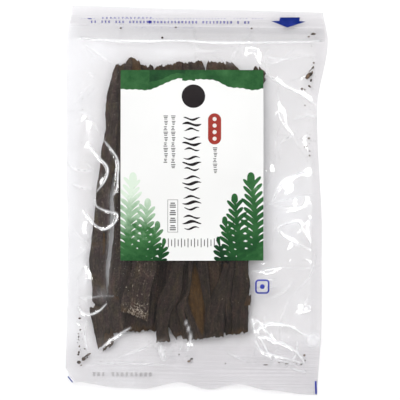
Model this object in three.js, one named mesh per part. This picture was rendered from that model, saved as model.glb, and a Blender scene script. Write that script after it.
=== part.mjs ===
// A clear zip-top pouch of dried wakame lying on its back, with a paper label on its front.
// Millimetres. X runs across the pouch, Y from its foot up to its open end, and Z up from the
// surface that it lies on. The origin is under the middle of the pouch, on that surface.
import * as THREE from "three";

// The pouch
const LENGTH = 237; // foot to open end
const FOOT_Y = -LENGTH / 2;
const OPEN_Y = LENGTH / 2;
const NOMINAL_HALF_WIDTH = 80;
const SEAL = { left: -71, right: 72, foot: -100.7 }; // inner edges of the heat seals
const ZIP = { low: 97.9, high: 107.1, relief: 0.3 }; // the closure's raised band
const TRACK = { low: 100.1, high: 103.1, relief: 0.6 }; // the track on it that snaps shut
const ZIP_STEP = 0.8; // how far along Y the band and the track take to rise
const FILM_PAIR = 0.8; // two films sealed together, thick enough to be a solid

// How far the wakame swells the pouch, and where it is fullest
const SWELL_UP = 11.4;
const SWELL_DOWN = 9;
const FULLEST = { x: -10, y: -4 };
const SHOULDER = { across: 2.8, along: 5 }; // powers: higher is flatter on top and steeper at the seals
const BUNDLE = { left: -60, right: 36, foot: -88, top: 84 };
const STRAND_RELIEF = 0.5;
const STRAND_PITCH = 13;
const STRAND_LEAN = 0.06; // sideways shift of the strands for each millimetre along them

// The heat seals' own height above the surface
const SEAL_REST = 2.6;
const SEAL_WAVE = 0.7;
const FOOT_REST = 1;
const FOOT_CURL = 0.75; // rise of the foot edge for each millimetre that it draws back
const OPEN_LIFT = 0.9;

// The outline, as places along an edge with the edge's place there
const LEFT_EDGE = [[-118.5, -78.3], [-75, -77.6], [-25, -77.6], [20, -79.2], [98, -80.1], [118.5, -76.8]];
const RIGHT_EDGE = [[-118.5, 76.7], [-75, 78.7], [-25, 78.2], [58, 74.2], [98, 80.1], [118.5, 77.1]];
const OPEN_EDGE = [[-80, OPEN_Y], [0, OPEN_Y - 1.2], [80, OPEN_Y - 2.2]];
const FOOT_DRAWN_BACK = [[-80, 6.5], [-47, 2.7], [-32.6, 2.3], [-8.6, 6.7], [10.5, 2.6], [29.5, 6.1], [49, 2.6], [76, 0]];
const CUT_CORNER = { x: -75.2, y: -110.6 }; // the left foot corner is clipped

// The label
const LABEL = { width: 87.3, length: 116.5, thickness: 0.3, x: -2.1, y: 21.4, turn: THREE.MathUtils.degToRad(0.8) };
const LABEL_GAP = 0.4;
const LABEL_CALM = { none: 3, full: 8 }; // creases keep this far off the label, and reach full height here

// The broad creases of the front film: points along each, its height and its half-width
const FOLDS = [
  { points: [[41, 80], [52, 71.5], [65, 65], [74.4, 59]], height: 2.2, width: 3.2 },
  { points: [[36, 93], [37, 85.5], [41, 80]], height: 1.4, width: 2.8 },
  { points: [[41, 80], [49.3, 84.5], [60, 89]], height: 1, width: 2.8 },
  { points: [[50.2, 72], [50.3, 54.3], [57, 42], [66, 28.7]], height: 1.6, width: 3 },
  { points: [[71.7, 19], [61.9, 16.4], [52.2, 9.5], [47.4, -0.4]], height: 2.2, width: 3.4 },
  { points: [[50.4, -16.4], [54.4, -21.3], [62.5, -25.5], [71.2, -29.6]], height: 1.6, width: 2.8 },
  { points: [[50.4, -16.4], [56.2, -13.9], [63.5, -12.5], [69, -20]], height: 1.4, width: 2.8 },
  { points: [[40, -80], [43.5, -75.5], [50.3, -74.5], [59.5, -76.5], [68.8, -82], [76, -84.3]], height: 2, width: 2.8 },
  { points: [[36, -71], [43.6, -79.8], [53.5, -87], [62.8, -92.5], [68.5, -101]], height: 1.8, width: 2.8 },
  { points: [[-70.2, 95], [-60.9, 89], [-52.2, 83]], height: 1.8, width: 3.4 },
  { points: [[-66.3, 34.3], [-58.8, 25], [-53.8, 19], [-54.9, 11.7], [-61, 3.6]], height: 1.2, width: 2.8 },
  { points: [[-61.5, 1.7], [-60.2, -4.4], [-49, -9], [-54.5, -18.5], [-64.4, -12]], height: 1, width: 2.8 },
  { points: [[-71, -65.5], [-65, -71], [-57.5, -68.3], [-52.6, -63.4]], height: 1.2, width: 2.8 },
  { points: [[-60, -94.5], [-49.2, -85.5], [-37.7, -78]], height: 1.6, width: 3 },
];
const FOLD_STEPS = 14;

const { clamp, lerp, smoothstep } = THREE.MathUtils;

// The value at a place along an edge, easing from each knot to the next.
function along(knots, place) {
  const next = knots.findIndex(([at]) => at >= place);
  if (next === 0) return knots[0][1];
  if (next < 0) return knots.at(-1)[1];
  const [[from, a], [to, b]] = [knots[next - 1], knots[next]];
  return lerp(a, b, smoothstep(place, from, to));
}

// 0 at the seals and the zip, 1 where the pouch is fullest.
function fullness(x, y) {
  const sideReach = x < FULLEST.x ? FULLEST.x - SEAL.left : SEAL.right - FULLEST.x;
  const endReach = y < FULLEST.y ? FULLEST.y - SEAL.foot : ZIP.low - FULLEST.y;
  const across = clamp(Math.abs(x - FULLEST.x) / sideReach, 0, 1);
  const endwise = clamp(Math.abs(y - FULLEST.y) / endReach, 0, 1);
  return (1 - across ** SHOULDER.across) * (1 - endwise ** SHOULDER.along);
}

// The height of the middle of the sealed films, with the foot edge curling where it draws back.
function sealHeight(x, y) {
  const body = SEAL_REST + SEAL_WAVE * Math.sin(x / 23 + 1) * Math.sin(y / 31);
  const foot = FOOT_REST + FOOT_CURL * along(FOOT_DRAWN_BACK, x);
  const open = OPEN_LIFT * (1 + Math.sin(x / 19));
  return lerp(body, foot, smoothstep(-y, -SEAL.foot, -FOOT_Y)) + open * smoothstep(y, ZIP.high, OPEN_Y);
}

// How far a point lies outside the label, in the label's own turned frame.
function clearOfLabel(x, y) {
  const [cos, sin] = [Math.cos(LABEL.turn), Math.sin(LABEL.turn)];
  const [dx, dy] = [x - LABEL.x, y - LABEL.y];
  const across = Math.max(Math.abs(dx * cos + dy * sin) - LABEL.width / 2, 0);
  const endwise = Math.max(Math.abs(dy * cos - dx * sin) - LABEL.length / 2, 0);
  return smoothstep(Math.hypot(across, endwise), LABEL_CALM.none, LABEL_CALM.full);
}

// Each crease as a smooth run of points, made once.
const creaseRuns = FOLDS.map(({ points, height, width }) => {
  const curve = new THREE.CatmullRomCurve3(points.map(([x, y]) => new THREE.Vector3(x, y, 0)));
  return { run: curve.getPoints(FOLD_STEPS), height, width };
});

// The height that one crease adds at a point: a narrow ridge that fades at both ends.
function creaseHeight({ run, height, width }, x, y) {
  const here = new THREE.Vector3(x, y, 0);
  const nearest = new THREE.Vector3();
  let distance = Infinity;
  let share = 0;
  for (let i = 0; i < FOLD_STEPS; i++) {
    const step = new THREE.Line3(run[i], run[i + 1]);
    const t = step.closestPointToPointParameter(here, true);
    const gap = step.at(t, nearest).distanceTo(here);
    if (gap < distance) {
      distance = gap;
      share = (i + t) / FOLD_STEPS;
    }
  }
  return height * Math.exp(-((distance / width) ** 2)) * Math.sin(Math.PI * share) ** 0.5;
}

// The low ridges of the strands of wakame under the front film.
function strandRelief(x, y) {
  const inside =
    smoothstep(x, BUNDLE.left - 6, BUNDLE.left + 6) *
    smoothstep(-x, -BUNDLE.right - 6, -BUNDLE.right + 6) *
    smoothstep(y, BUNDLE.foot - 6, BUNDLE.foot + 6) *
    smoothstep(-y, -BUNDLE.top - 4, -BUNDLE.top + 4);
  return inside * STRAND_RELIEF * Math.cos((2 * Math.PI * (x - STRAND_LEAN * y)) / STRAND_PITCH);
}

// The closure: a low band across the pouch with a higher track on it.
function zipRelief(y) {
  const band = smoothstep(y, ZIP.low, ZIP.low + ZIP_STEP) * smoothstep(-y, -ZIP.high, -ZIP.high + ZIP_STEP);
  const track = smoothstep(y, TRACK.low - ZIP_STEP, TRACK.low) * smoothstep(-y, -TRACK.high - ZIP_STEP, -TRACK.high);
  return ZIP.relief * band + TRACK.relief * track;
}

function backHeight(x, y) {
  return Math.max(0, sealHeight(x, y) - FILM_PAIR / 2 - SWELL_DOWN * fullness(x, y));
}

// The front film where the label lies on it, and so without creases.
function calmFrontHeight(x, y) {
  return sealHeight(x, y) + FILM_PAIR / 2 + SWELL_UP * fullness(x, y);
}

function frontHeight(x, y) {
  const creases = creaseRuns.reduce((sum, crease) => sum + creaseHeight(crease, x, y), 0);
  const relief = (creases + strandRelief(x, y)) * clearOfLabel(x, y);
  const height = calmFrontHeight(x, y) + relief + zipRelief(y);
  return Math.max(height, backHeight(x, y) + FILM_PAIR);
}

// Numbers from the first station to the last that take in every station. A gap longer than the
// step is filled by an even number of steps.
function stops(stations, step) {
  const list = [stations[0]];
  for (let i = 1; i < stations.length; i++) {
    const [from, to] = [stations[i - 1], stations[i]];
    const count = to - from > step ? 2 * Math.ceil((to - from) / (2 * step)) : 1;
    for (let k = 1; k <= count; k++) list.push(lerp(from, to, k / count));
  }
  return list;
}

// A closed sheet over a grid: the front face at full detail, the back face on every second line,
// and a wall between them. Columns and rows must be even in number.
function closedSheet(columns, rows, place, front, back) {
  const positions = [];
  const index = [];
  const wide = columns + 1;
  const size = wide * (rows + 1);
  for (const height of [front, back])
    for (let j = 0; j <= rows; j++)
      for (let i = 0; i <= columns; i++) {
        const [x, y] = place(i, j);
        positions.push(x, y, height(x, y));
      }
  const top = (i, j) => j * wide + i;
  const under = (i, j) => size + j * wide + i;
  for (let j = 0; j < rows; j++)
    for (let i = 0; i < columns; i++) {
      const [a, b, c, d] = [top(i, j), top(i + 1, j), top(i + 1, j + 1), top(i, j + 1)];
      index.push(...((i + j) % 2 ? [a, b, c, a, c, d] : [a, b, d, b, c, d]));
    }
  for (let j = 0; j < rows; j += 2)
    for (let i = 0; i < columns; i += 2) fanUnderside(i, j);
  const rim = [];
  for (let i = 0; i < columns; i++) rim.push([i, 0]);
  for (let j = 0; j < rows; j++) rim.push([columns, j]);
  for (let i = columns; i > 0; i--) rim.push([i, rows]);
  for (let j = rows; j > 0; j--) rim.push([0, j]);
  rim.forEach((here, k) => {
    const next = rim[(k + 1) % rim.length];
    index.push(under(...here), under(...next), top(...next), under(...here), top(...next), top(...here));
  });

  // One cell of the back face, two grid steps each way, with the middle points of its edges on the rim.
  function fanUnderside(i, j) {
    const corners = [[i, j], [i, j + 2], [i + 2, j + 2], [i + 2, j]];
    const ring = [];
    corners.forEach(([ci, cj], k) => {
      const [ni, nj] = corners[(k + 1) % corners.length];
      ring.push([ci, cj]);
      const onSide = ci === ni && (ci === 0 || ci === columns);
      const onEnd = cj === nj && (cj === 0 || cj === rows);
      if (onSide || onEnd) ring.push([(ci + ni) / 2, (cj + nj) / 2]);
    });
    const innermost = ring.findIndex(([ri, rj]) => ri > 0 && ri < columns && rj > 0 && rj < rows);
    const turned = [...ring.slice(innermost), ...ring.slice(0, innermost)];
    for (let k = 1; k < turned.length - 1; k++)
      index.push(under(...turned[0]), under(...turned[k]), under(...turned[k + 1]));
  }

  const geometry = new THREE.BufferGeometry();
  geometry.setAttribute("position", new THREE.Float32BufferAttribute(positions, 3));
  geometry.setIndex(index);
  geometry.computeVertexNormals();
  return geometry;
}

// The pouch: a grid over the nominal rectangle, pulled out to the true outline.
function makePouch() {
  const columns = stops([-NOMINAL_HALF_WIDTH, SEAL.left, SEAL.right, NOMINAL_HALF_WIDTH], 3.3);
  const trackRows = [TRACK.low - ZIP_STEP, TRACK.low, (TRACK.low + TRACK.high) / 2, TRACK.high, TRACK.high + ZIP_STEP];
  const zipRows = [ZIP.low, ZIP.low + ZIP_STEP, ...trackRows, ZIP.high - ZIP_STEP, ZIP.high];
  const rows = stops([FOOT_Y, SEAL.foot, ...zipRows, OPEN_Y], 3.5);
  const place = (i, j) => {
    const cutHere = i === 0 && j === 0;
    if (cutHere) return [CUT_CORNER.x, CUT_CORNER.y];
    const [u, v] = [columns[i], rows[j]];
    const across = (u + NOMINAL_HALF_WIDTH) / (2 * NOMINAL_HALF_WIDTH);
    const footShift = along(FOOT_DRAWN_BACK, u) * smoothstep(-v, -SEAL.foot, -FOOT_Y);
    const openShift = (along(OPEN_EDGE, u) - OPEN_Y) * smoothstep(v, ZIP.high, OPEN_Y);
    return [lerp(along(LEFT_EDGE, v), along(RIGHT_EDGE, v), across), v + footShift + openShift];
  };
  const geometry = closedSheet(columns.length - 1, rows.length - 1, place, frontHeight, backHeight);
  const film = new THREE.MeshStandardMaterial({ color: 0xdcdbe0, roughness: 0.12, metalness: 0 });
  const pouch = new THREE.Mesh(geometry, film);
  pouch.name = "pouch";
  return pouch;
}

// The label: a sheet of paper that follows the front film.
function makeLabel() {
  const [columns, rows] = [12, 16];
  const [cos, sin] = [Math.cos(LABEL.turn), Math.sin(LABEL.turn)];
  const place = (i, j) => {
    const across = (i / columns - 0.5) * LABEL.width;
    const endwise = (j / rows - 0.5) * LABEL.length;
    return [LABEL.x + across * cos - endwise * sin, LABEL.y + across * sin + endwise * cos];
  };
  const back = (x, y) => calmFrontHeight(x, y) + LABEL_GAP;
  const front = (x, y) => back(x, y) + LABEL.thickness;
  const paper = new THREE.MeshStandardMaterial({ color: 0xf7f7f5, roughness: 0.5, metalness: 0 });
  const label = new THREE.Mesh(closedSheet(columns, rows, place, front, back), paper);
  label.name = "label";
  return label;
}

const pack = new THREE.Group();
pack.add(makePouch(), makeLabel());

export default pack;
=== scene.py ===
"""The looks of a clear zip-top pouch of dried wakame, lying on its back with its label up.

Shapes are worked out in millimetres and become metres when a mesh is made.
"""

import math
import random

import bmesh
import bpy
import numpy as np
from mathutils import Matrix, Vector, noise


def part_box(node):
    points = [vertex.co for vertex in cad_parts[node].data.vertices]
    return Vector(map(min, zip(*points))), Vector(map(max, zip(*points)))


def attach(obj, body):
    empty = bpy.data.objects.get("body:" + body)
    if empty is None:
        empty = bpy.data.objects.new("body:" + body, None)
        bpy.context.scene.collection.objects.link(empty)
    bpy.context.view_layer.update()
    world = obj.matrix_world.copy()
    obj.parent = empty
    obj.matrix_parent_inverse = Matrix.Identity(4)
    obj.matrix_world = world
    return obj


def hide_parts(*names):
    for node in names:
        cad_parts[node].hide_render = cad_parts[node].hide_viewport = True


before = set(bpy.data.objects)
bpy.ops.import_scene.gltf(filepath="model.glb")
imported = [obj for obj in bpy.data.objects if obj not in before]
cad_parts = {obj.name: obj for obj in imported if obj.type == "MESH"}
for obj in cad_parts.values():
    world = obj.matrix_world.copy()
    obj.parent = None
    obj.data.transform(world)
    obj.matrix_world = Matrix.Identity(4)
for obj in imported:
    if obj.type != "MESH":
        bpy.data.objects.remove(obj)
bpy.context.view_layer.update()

MM = 0.001
SEED = 7

# ---------------------------------------------------------------------------
# The pouch's form, as its solid has it

POUCH_LOW, POUCH_HIGH = (np.array(corner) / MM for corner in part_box("pouch"))
HALF_WIDTH = 80.0
FOOT_Y = float(POUCH_LOW[1])
OPEN_Y = float(POUCH_HIGH[1])
SEAL = {"left": -71.0, "right": 72.0, "foot": -100.7}
ZIP = {"low": 97.9, "high": 107.1, "relief": 0.3}
TRACK = {"low": 100.1, "high": 103.1, "relief": 0.6}
ZIP_STEP = 1.4
FILM_PAIR = 0.4
SWELL_UP = 11.4
SWELL_DOWN = 9.0
FULLEST = {"x": -10.0, "y": -4.0}
SHOULDER = {"left": 2.1, "right": 2.4, "along": 3.7}
SEAL_REST = 2.6
SEAL_WAVE = 0.7
FOOT_REST = 1.0
FOOT_CURL = 0.75
OPEN_LIFT = 0.9
LEFT_EDGE = [
    (-118.5, -75.8), (-104, -78), (-75, -77.6), (-25, -77.6), (20, -79.2), (98, -80.1), (118.5, -76.8),
]
RIGHT_EDGE = [(-118.5, 76.7), (-75, 78.7), (-25, 78.2), (58, 74.2), (98, 80.1), (118.5, 77.1)]
OPEN_EDGE = [(-80, 0), (0, -1.2), (80, -2.2)]
FOOT_DRAWN_BACK = [(-80, 9.4), (-75.5, 6.1), (-47, 2.7), (-32.6, 2.3), (-8.6, 6.7), (10.5, 2.6), (29.5, 6.1),
                   (49, 2.6), (76, 0)]

LABEL_WIDTH = 87.3
LABEL_LENGTH = 116.5
LABEL_TURN = math.radians(0.8)
LABEL_LOW, LABEL_HIGH = (np.array(corner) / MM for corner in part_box("label"))
LABEL_X, LABEL_Y = ((LABEL_LOW + LABEL_HIGH) / 2)[:2]
LABEL_CALM = (0.3, 3.0)  # how far outside the label the film begins to crease, and creases in full
LOWEST_RELIEF = 0.25
PAPER_GAP = 0.06
PAPER = 0.16


def eased(knots, at):
    """The value at each place along an edge, easing from one knot to the next."""
    places, values = np.array(knots, float).T
    after = np.clip(np.searchsorted(places, at), 1, len(places) - 1)
    t = np.clip((at - places[after - 1]) / (places[after] - places[after - 1]), 0, 1)
    return values[after - 1] + (values[after] - values[after - 1]) * t * t * (3 - 2 * t)


def ramp(value, start, end):
    """0 before start and 1 after end, smooth between."""
    t = np.clip((value - start) / (end - start), 0, 1)
    return t * t * (3 - 2 * t)


def within(value, rise, fall):
    """1 inside a stretch and 0 outside it. It rises over one pair of limits and falls over the other."""
    return ramp(value, *rise) * ramp(-value, -fall[1], -fall[0])


def spot(x, y, middle, reach):
    """1 in the middle of a soft round spot, fading outwards."""
    return np.exp(-((x - middle[0]) ** 2 + (y - middle[1]) ** 2) / reach**2)


def ripples(x, y, size, seed):
    """Smooth random heights between about -1 and 1."""
    flat = [noise.noise((a / size, b / size, seed)) for a, b in zip(x.ravel(), y.ravel())]
    return np.array(flat).reshape(x.shape)


def rippled(x, y, *layers):
    """Layers of ripples laid over each other, each with its height, size and seed."""
    return sum(height * ripples(x, y, size, seed) for height, size, seed in layers)


def fullness(x, y):
    """0 at the seals and the zip, 1 where the pouch is fullest."""
    side = np.where(x < FULLEST["x"], FULLEST["x"] - SEAL["left"], SEAL["right"] - FULLEST["x"])
    end = np.where(y < FULLEST["y"], FULLEST["y"] - SEAL["foot"], ZIP["low"] - FULLEST["y"])
    across = np.clip(np.abs(x - FULLEST["x"]) / side, 0, 1)
    shoulder = np.where(x < FULLEST["x"], SHOULDER["left"], SHOULDER["right"])
    endwise = np.clip(np.abs(y - FULLEST["y"]) / end, 0, 1)
    return (1 - across**shoulder) * (1 - endwise ** SHOULDER["along"])


def seal_height(x, y):
    """The middle of the sealed films, with the foot edge curling where it draws back."""
    body = SEAL_REST + SEAL_WAVE * np.sin(x / 23 + 1) * np.sin(y / 31)
    foot = FOOT_REST + FOOT_CURL * eased(FOOT_DRAWN_BACK, x)
    low = ramp(-y, -SEAL["foot"], -FOOT_Y)
    return body + (foot - body) * low + OPEN_LIFT * (1 + np.sin(x / 19)) * ramp(y, ZIP["high"], OPEN_Y)


def zip_relief(y):
    """The closure's low band with its higher track."""
    band = within(y, (ZIP["low"], ZIP["low"] + ZIP_STEP), (ZIP["high"] - ZIP_STEP, ZIP["high"]))
    track = within(y, (TRACK["low"] - ZIP_STEP, TRACK["low"]), (TRACK["high"], TRACK["high"] + ZIP_STEP))
    return ZIP["relief"] * band + TRACK["relief"] * track


def turned(u, v, angle, middle=(0, 0)):
    """Points turned about a middle."""
    cos, sin = math.cos(angle), math.sin(angle)
    du, dv = u - middle[0], v - middle[1]
    return middle[0] + du * cos - dv * sin, middle[1] + du * sin + dv * cos


def clear_of_label(x, y):
    """0 under the label and 1 well outside it, in the label's own turned frame."""
    u, v = turned(x - LABEL_X, y - LABEL_Y, -LABEL_TURN)
    across = np.maximum(np.abs(u) - LABEL_WIDTH / 2, 0)
    endwise = np.maximum(np.abs(v) - LABEL_LENGTH / 2, 0)
    return ramp(np.hypot(across, endwise), *LABEL_CALM)


def back_height(x, y):
    """The back film's height."""
    return np.maximum(0, seal_height(x, y) - FILM_PAIR / 2 - SWELL_DOWN * fullness(x, y))


def calm_front_height(x, y):
    """The front film's height before it creases. The label lies on this."""
    return seal_height(x, y) + FILM_PAIR / 2 + SWELL_UP * fullness(x, y)


# ---------------------------------------------------------------------------
# The film's creases: how steep each is at its back, its width and the points that it runs through

CREASES = [
    # right of the label, from the zip down
    (0.8, 2.2, [(41, 80), (52.3, 71.3), (64.9, 65.2), (74.4, 59)]),
    (0.6, 2.0, [(35, 92.9), (36.9, 85.5), (41, 80)]),
    (0.4, 1.8, [(35, 92.9), (28.3, 84.8)]),
    (0.45, 1.8, [(41.3, 80.1), (49.3, 84.5), (58.4, 88.3)]),
    (0.5, 1.5, [(55.9, 90.7), (66.4, 89.6), (76.9, 88.5)]),
    (0.5, 1.8, [(54.3, 72.9), (63.5, 76.1), (73.3, 83.6)]),
    (0.6, 1.8, [(50.1, 71.6), (50.3, 54.3), (54.7, 45.2), (59.1, 39.7), (66, 28.7)]),
    (0.45, 2.0, [(50.3, 54.3), (46.1, 47.5)]),
    (0.8, 2.0, [(71.7, 19), (61.9, 16.4), (52.2, 9.5), (47.4, -0.4)]),
    (0.6, 2.0, [(48.6, -2.9), (64.6, -2.7), (68.2, 3.5)]),
    (0.8, 1.5, [(50.4, -16.4), (56.2, -13.9), (63.5, -12.5), (67.3, -18.6), (72.4, -27.8)]),
    (0.8, 1.4, [(50.4, -16.4), (54.4, -21.3), (62.5, -25.5), (71.2, -29.6)]),
    (0.5, 1.2, [(66.6, -12.5), (69.6, -9.4), (73.4, -12.4)]),
    (0.7, 1.3, [(34.4, -43.1), (42.4, -42.3), (54.7, -39.7)]),
    (0.5, 1.4, [(65.1, -35.3), (71.9, -37)]),
    (1.0, 1.1, [(38.1, -83), (39, -79), (41.7, -76.1), (45.3, -74.8), (50.3, -74.4), (56.8, -75.6),
                (62.6, -78.1), (67.6, -81.4), (72.9, -83.1)]),
    (1.0, 1.1, [(36.3, -69.9), (35.9, -72.4), (36.6, -74.1), (38.3, -73.2), (40.4, -74.2), (46.2, -81.2),
                (50, -85.5), (54.1, -86.2), (58.7, -88.5), (63.6, -92.5), (67, -96.5), (69, -99.5)]),
    (0.9, 0.9, [(35.9, -72.4), (36.5, -76.2), (38.3, -79.3), (41.4, -83)]),
    (0.9, 1.0, [(38.1, -83.4), (41.8, -82.9), (45.9, -83.3), (50.4, -86.1)]),
    (0.9, 0.9, [(40.1, -82.2), (43, -87), (46, -92.7), (48.8, -97.4)]),
    (0.9, 0.9, [(38.1, -83.4), (39.6, -88.3), (43.6, -92.5), (49.7, -94.3), (56.3, -95.9), (62.9, -97.6),
                (68.5, -99.9)]),
    (0.7, 0.6, [(49.8, -97.2), (54.7, -97.8), (59.6, -99.1), (67, -100.4)]),
    (0.7, 0.6, [(59.7, -101.8), (64.6, -103.5), (70.5, -104.4)]),
    (0.8, 0.7, [(67.3, -64.1), (69.4, -63.5), (71.3, -64.5), (70.8, -66.4), (68.6, -66.7), (67.3, -65.4)]),
    (0.5, 1.0, [(70.6, -65.7), (66.5, -66.6), (62.4, -66.8)]),
    # left of the label
    (1.0, 1.3, [(-57.1, 36.8), (-51.5, 30.2), (-47.4, 23.4), (-47.3, 14.8), (-48.1, 5.6), (-51.1, 0.6)]),
    (1.0, 1.3, [(-66.3, 34.3), (-58.8, 25.1), (-53.8, 19.1), (-54.9, 11.7), (-60.9, 3.6)]),
    (1.0, 1.2, [(-61.5, 1.7), (-60.2, -4.4), (-54, -7.4), (-47.5, -9.2), (-49, -14.7), (-54.5, -18.5),
                (-60, -16.7), (-64.4, -11.9), (-68.2, -7)]),
    (0.6, 2.0, [(-72, 45.2), (-67.7, 49), (-62.8, 46), (-57.7, 38.7)]),
    (1.0, 1.0, [(-71.1, -65.5), (-67.3, -70.3), (-63, -70.9), (-57.5, -68.3), (-52.6, -63.4)]),
    (0.6, 0.9, [(-69, -60.9), (-62, -60.4), (-55.5, -59.2), (-48, -59.6)]),
    (1.0, 1.2, [(-57.7, -93), (-49.2, -85.5), (-37.7, -77.9)]),
    (0.4, 1.6, [(-70.3, -29.2), (-65.4, -30.9), (-61.1, -30.3)]),
    (0.6, 2.4, [(-70.2, 95.1), (-60.9, 89.1), (-52.2, 83)]),
    (0.4, 2.2, [(-65.9, 96.4), (-56.6, 91.6), (-41.2, 88.7)]),
    # along the lower edge of the zip
    (0.86, 0.75, [(-72, 98.6), (-69, 98.2), (-41.3, 96.7), (-10.6, 97.8), (10.9, 96.5), (38.6, 97.2),
                  (72, 98.6), (77, 99)]),
    # over the foot of the strips
    (0.9, 1.0, [(-5.1, -72.5), (-1.9, -81.7), (-1.8, -89.1)]),
]
CREASE_TIP = 0.3
CREASE_STEPS = 10
CREASE_REACH = 6  # how many of its widths away a crease still shows
CREASE_BREAKS = (0.16, 2.6, 8.8)  # how unevenly a crease's height runs: share, size and seed
# Whitening along the steepest creases, partly real stress whitening and partly painted highlight: how steep
# a crease must be to whiten, the width of the white, and how unevenly it runs
STRESS_FROM = 0.45
STRESS_WIDTH = 0.55
STRESS_BREAKS = (0.4, 2.2, 3.9)

# Small random creases: how many in each patch of loose film, given by its left, right, low and high sides
LOOSE_PATCHES = [
    (6, (42, 72, 20, 97)), (18, (42, 72, -98, 20)), (6, (-71, -64, -98, 10)), (2, (-48, 42, 84, 97)),
]
LOOSE_CREASES = {"strength": (0.2, 0.55), "width": (0.8, 1.8), "length": (5, 22)}

# Faint white lines where the film has been folded before, in patches given in the same way
OLD_FOLDS = [
    (22, (42, 72, -98, 97)), (16, (-71, -58, -98, 97)), (8, (-48, 42, 84, 97)), (8, (-48, 42, -100, -84)),
]
FOLD_LINES = {"strength": (0.1, 0.35), "width": (0.5, 0.9), "length": (8, 34)}
BEND = 0.35

# Painted light in soft white lines: strength, width and points. The first lifts the shade in the gap between
# two strips; the others are painted highlights over the foot of the strips and along the top edge of the
# foot seal
PAINTED_LIGHT_LINES = [
    (0.13, 1.5, [(-50.5, 2.5), (-51.1, -6.7), (-52, -31.4), (-52.8, -44.9), (-53.2, -56)]),
    (0.95, 1.1, [(-20, -88.7), (-19, -93.6), (-17.4, -99.2)]),
    (0.2, 0.8, [(-15.9, -97.9), (-14.1, -94.2), (-11, -91.1)]),
    (0.3, 0.8, [(-7.4, -83.6), (-7.1, -87.9), (-8.5, -92.9)]),
    (0.3, 0.7, [(-2.2, -84.2), (-1.8, -89.1), (-4.2, -93.4), (-3, -96.5)]),
    (0.35, 0.5, [(-63.2, -101.6), (-44.7, -100.8), (-26.3, -101.1), (-12.7, -102.2)]),
]

# Painted highlights: soft white spots that stand in for the glints of tiny creases: place, reach and
# strength
PAINTED_HIGHLIGHT_SPOTS = [
    ((73.5, -85), 4, 0.6), ((69.4, -65.2), 2.0, 0.5), ((36.8, -73), 2, 0.4), ((40.5, -82.5), 2, 0.3),
    ((49, -85), 2, 0.3), ((-56, -58.5), 4, 0.1),
]

# Painted light: patches where the film is drawn lighter and whiter: place, reach and share. Most lift shade,
# and the two at (54, 3) and (58, -16) stand in for a broad highlight
PAINTED_LIGHT_PATCHES = [
    ((-62, 88), 14, 1.0), ((-66, 62), 16, 0.5), ((-24, 92), 16, 0.6), ((54, 3), 13, 1.0),
    ((58, -16), 10, 0.6), ((74, -85), 8, 0.8), ((66, -64), 7, 0.3), ((-66, -36), 24, 0.8),
    ((-60, -84), 14, 0.6), ((-46, -107), 18, 0.9),
]

# Cone-shaped puckers: place, reach, how much longer they are one way, the turn of that way, and steepness
PUCKERS = [
    ((55.4, -1.4), 7.0, 1.5, 0, 0.34),
    ((54, 9.5), 6.5, 1.3, 60, 0.36),
    ((50.6, 52.4), 6.0, 1.4, 80, 0.34),
    ((32.6, 91.2), 6.0, 1.3, 100, 0.4),
    ((45, 19), 3.4, 1.4, 80, 0.4),
    ((44.3, -41.2), 4.0, 2.4, 14, 0.36),
    ((66.6, -34.6), 3.2, 1.6, 0, 0.34),
    ((64.8, -64.4), 4.4, 1.3, 0, 0.36),
]
PUCKER_TIP = 0.3
PUCKER_RIM = 6  # how sharply a pucker's side meets the film around it

# Waves of the free film: sharp-backed broad and small folds, and fine ripples, each a height, size and seed
BROAD_FOLDS = (0.75, 26, 1.5)
SMALL_FOLDS = (0.35, 10, 4.5)
FINE_WAVES = (0.05, 4, 6.5)
FOLD_DROP = 2.4
SEAL_EASE = 9.0  # how far from a side seal the film is free to wave
RIB_HEIGHT = 0.05
RIB_PITCH = {"foot": 2.3, "header": 2.9}


def smooth_run(points, steps=CREASE_STEPS):
    """A smooth run through the points."""
    knots = np.array(points, float)
    knots = np.vstack([2 * knots[0] - knots[1], knots, 2 * knots[-1] - knots[-2]])
    t = np.linspace(0, 1, steps, endpoint=False)[:, None]
    spans = []
    for a, b, c, d in zip(knots, knots[1:], knots[2:], knots[3:]):
        curve = 2 * b + (c - a) * t + (2 * a - 5 * b + 4 * c - d) * t**2 + (3 * b - a - 3 * c + d) * t**3
        spans.append(0.5 * curve)
    return np.vstack(spans + [knots[-2:-1]])


def nearest_on(run, x, y):
    """Distance from each point to the run, and how far along it the nearest place is, from 0 to 1."""
    best = np.full(x.shape, np.inf)
    share = np.zeros(x.shape)
    last = len(run) - 1
    for i in range(last):
        (ax, ay), (bx, by) = run[i], run[i + 1]
        dx, dy = bx - ax, by - ay
        t = np.clip(((x - ax) * dx + (y - ay) * dy) / (dx * dx + dy * dy), 0, 1)
        gap = np.hypot(x - ax - t * dx, y - ay - t * dy)
        closer = gap < best
        best = np.where(closer, gap, best)
        share = np.where(closer, (i + t) / last, share)
    return best, share


def random_creases(patches, seed, strength, width, length):
    """Slightly bent creases at random places in the patches; the last three arguments are ranges."""
    dice = random.Random(seed)
    out = []
    for count, (left, right, low, high) in patches:
        for _ in range(count):
            middle = np.array((dice.uniform(left, right), dice.uniform(low, high)))
            angle = dice.uniform(0, math.pi)
            reach = np.array((math.cos(angle), math.sin(angle))) * dice.uniform(*length) / 2
            bend = np.array((-reach[1], reach[0])) * dice.uniform(-BEND, BEND)
            points = [middle - reach, middle + bend, middle + reach]
            out.append((dice.uniform(*strength), dice.uniform(*width), points))
    return out


def near_creases(x, y, creases):
    """For each crease that passes near: which points, how far off, and its fade, steepness and width."""
    for steepness, width, points in creases:
        run = smooth_run(points)
        reach = CREASE_REACH * width
        low, high = run.min(0) - reach, run.max(0) + reach
        near = (x > low[0]) & (x < high[0]) & (y > low[1]) & (y < high[1])
        if near.any():
            gap, share = nearest_on(run, x[near], y[near])
            yield near, gap, np.sin(np.pi * share) ** 0.5, steepness, width


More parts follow.
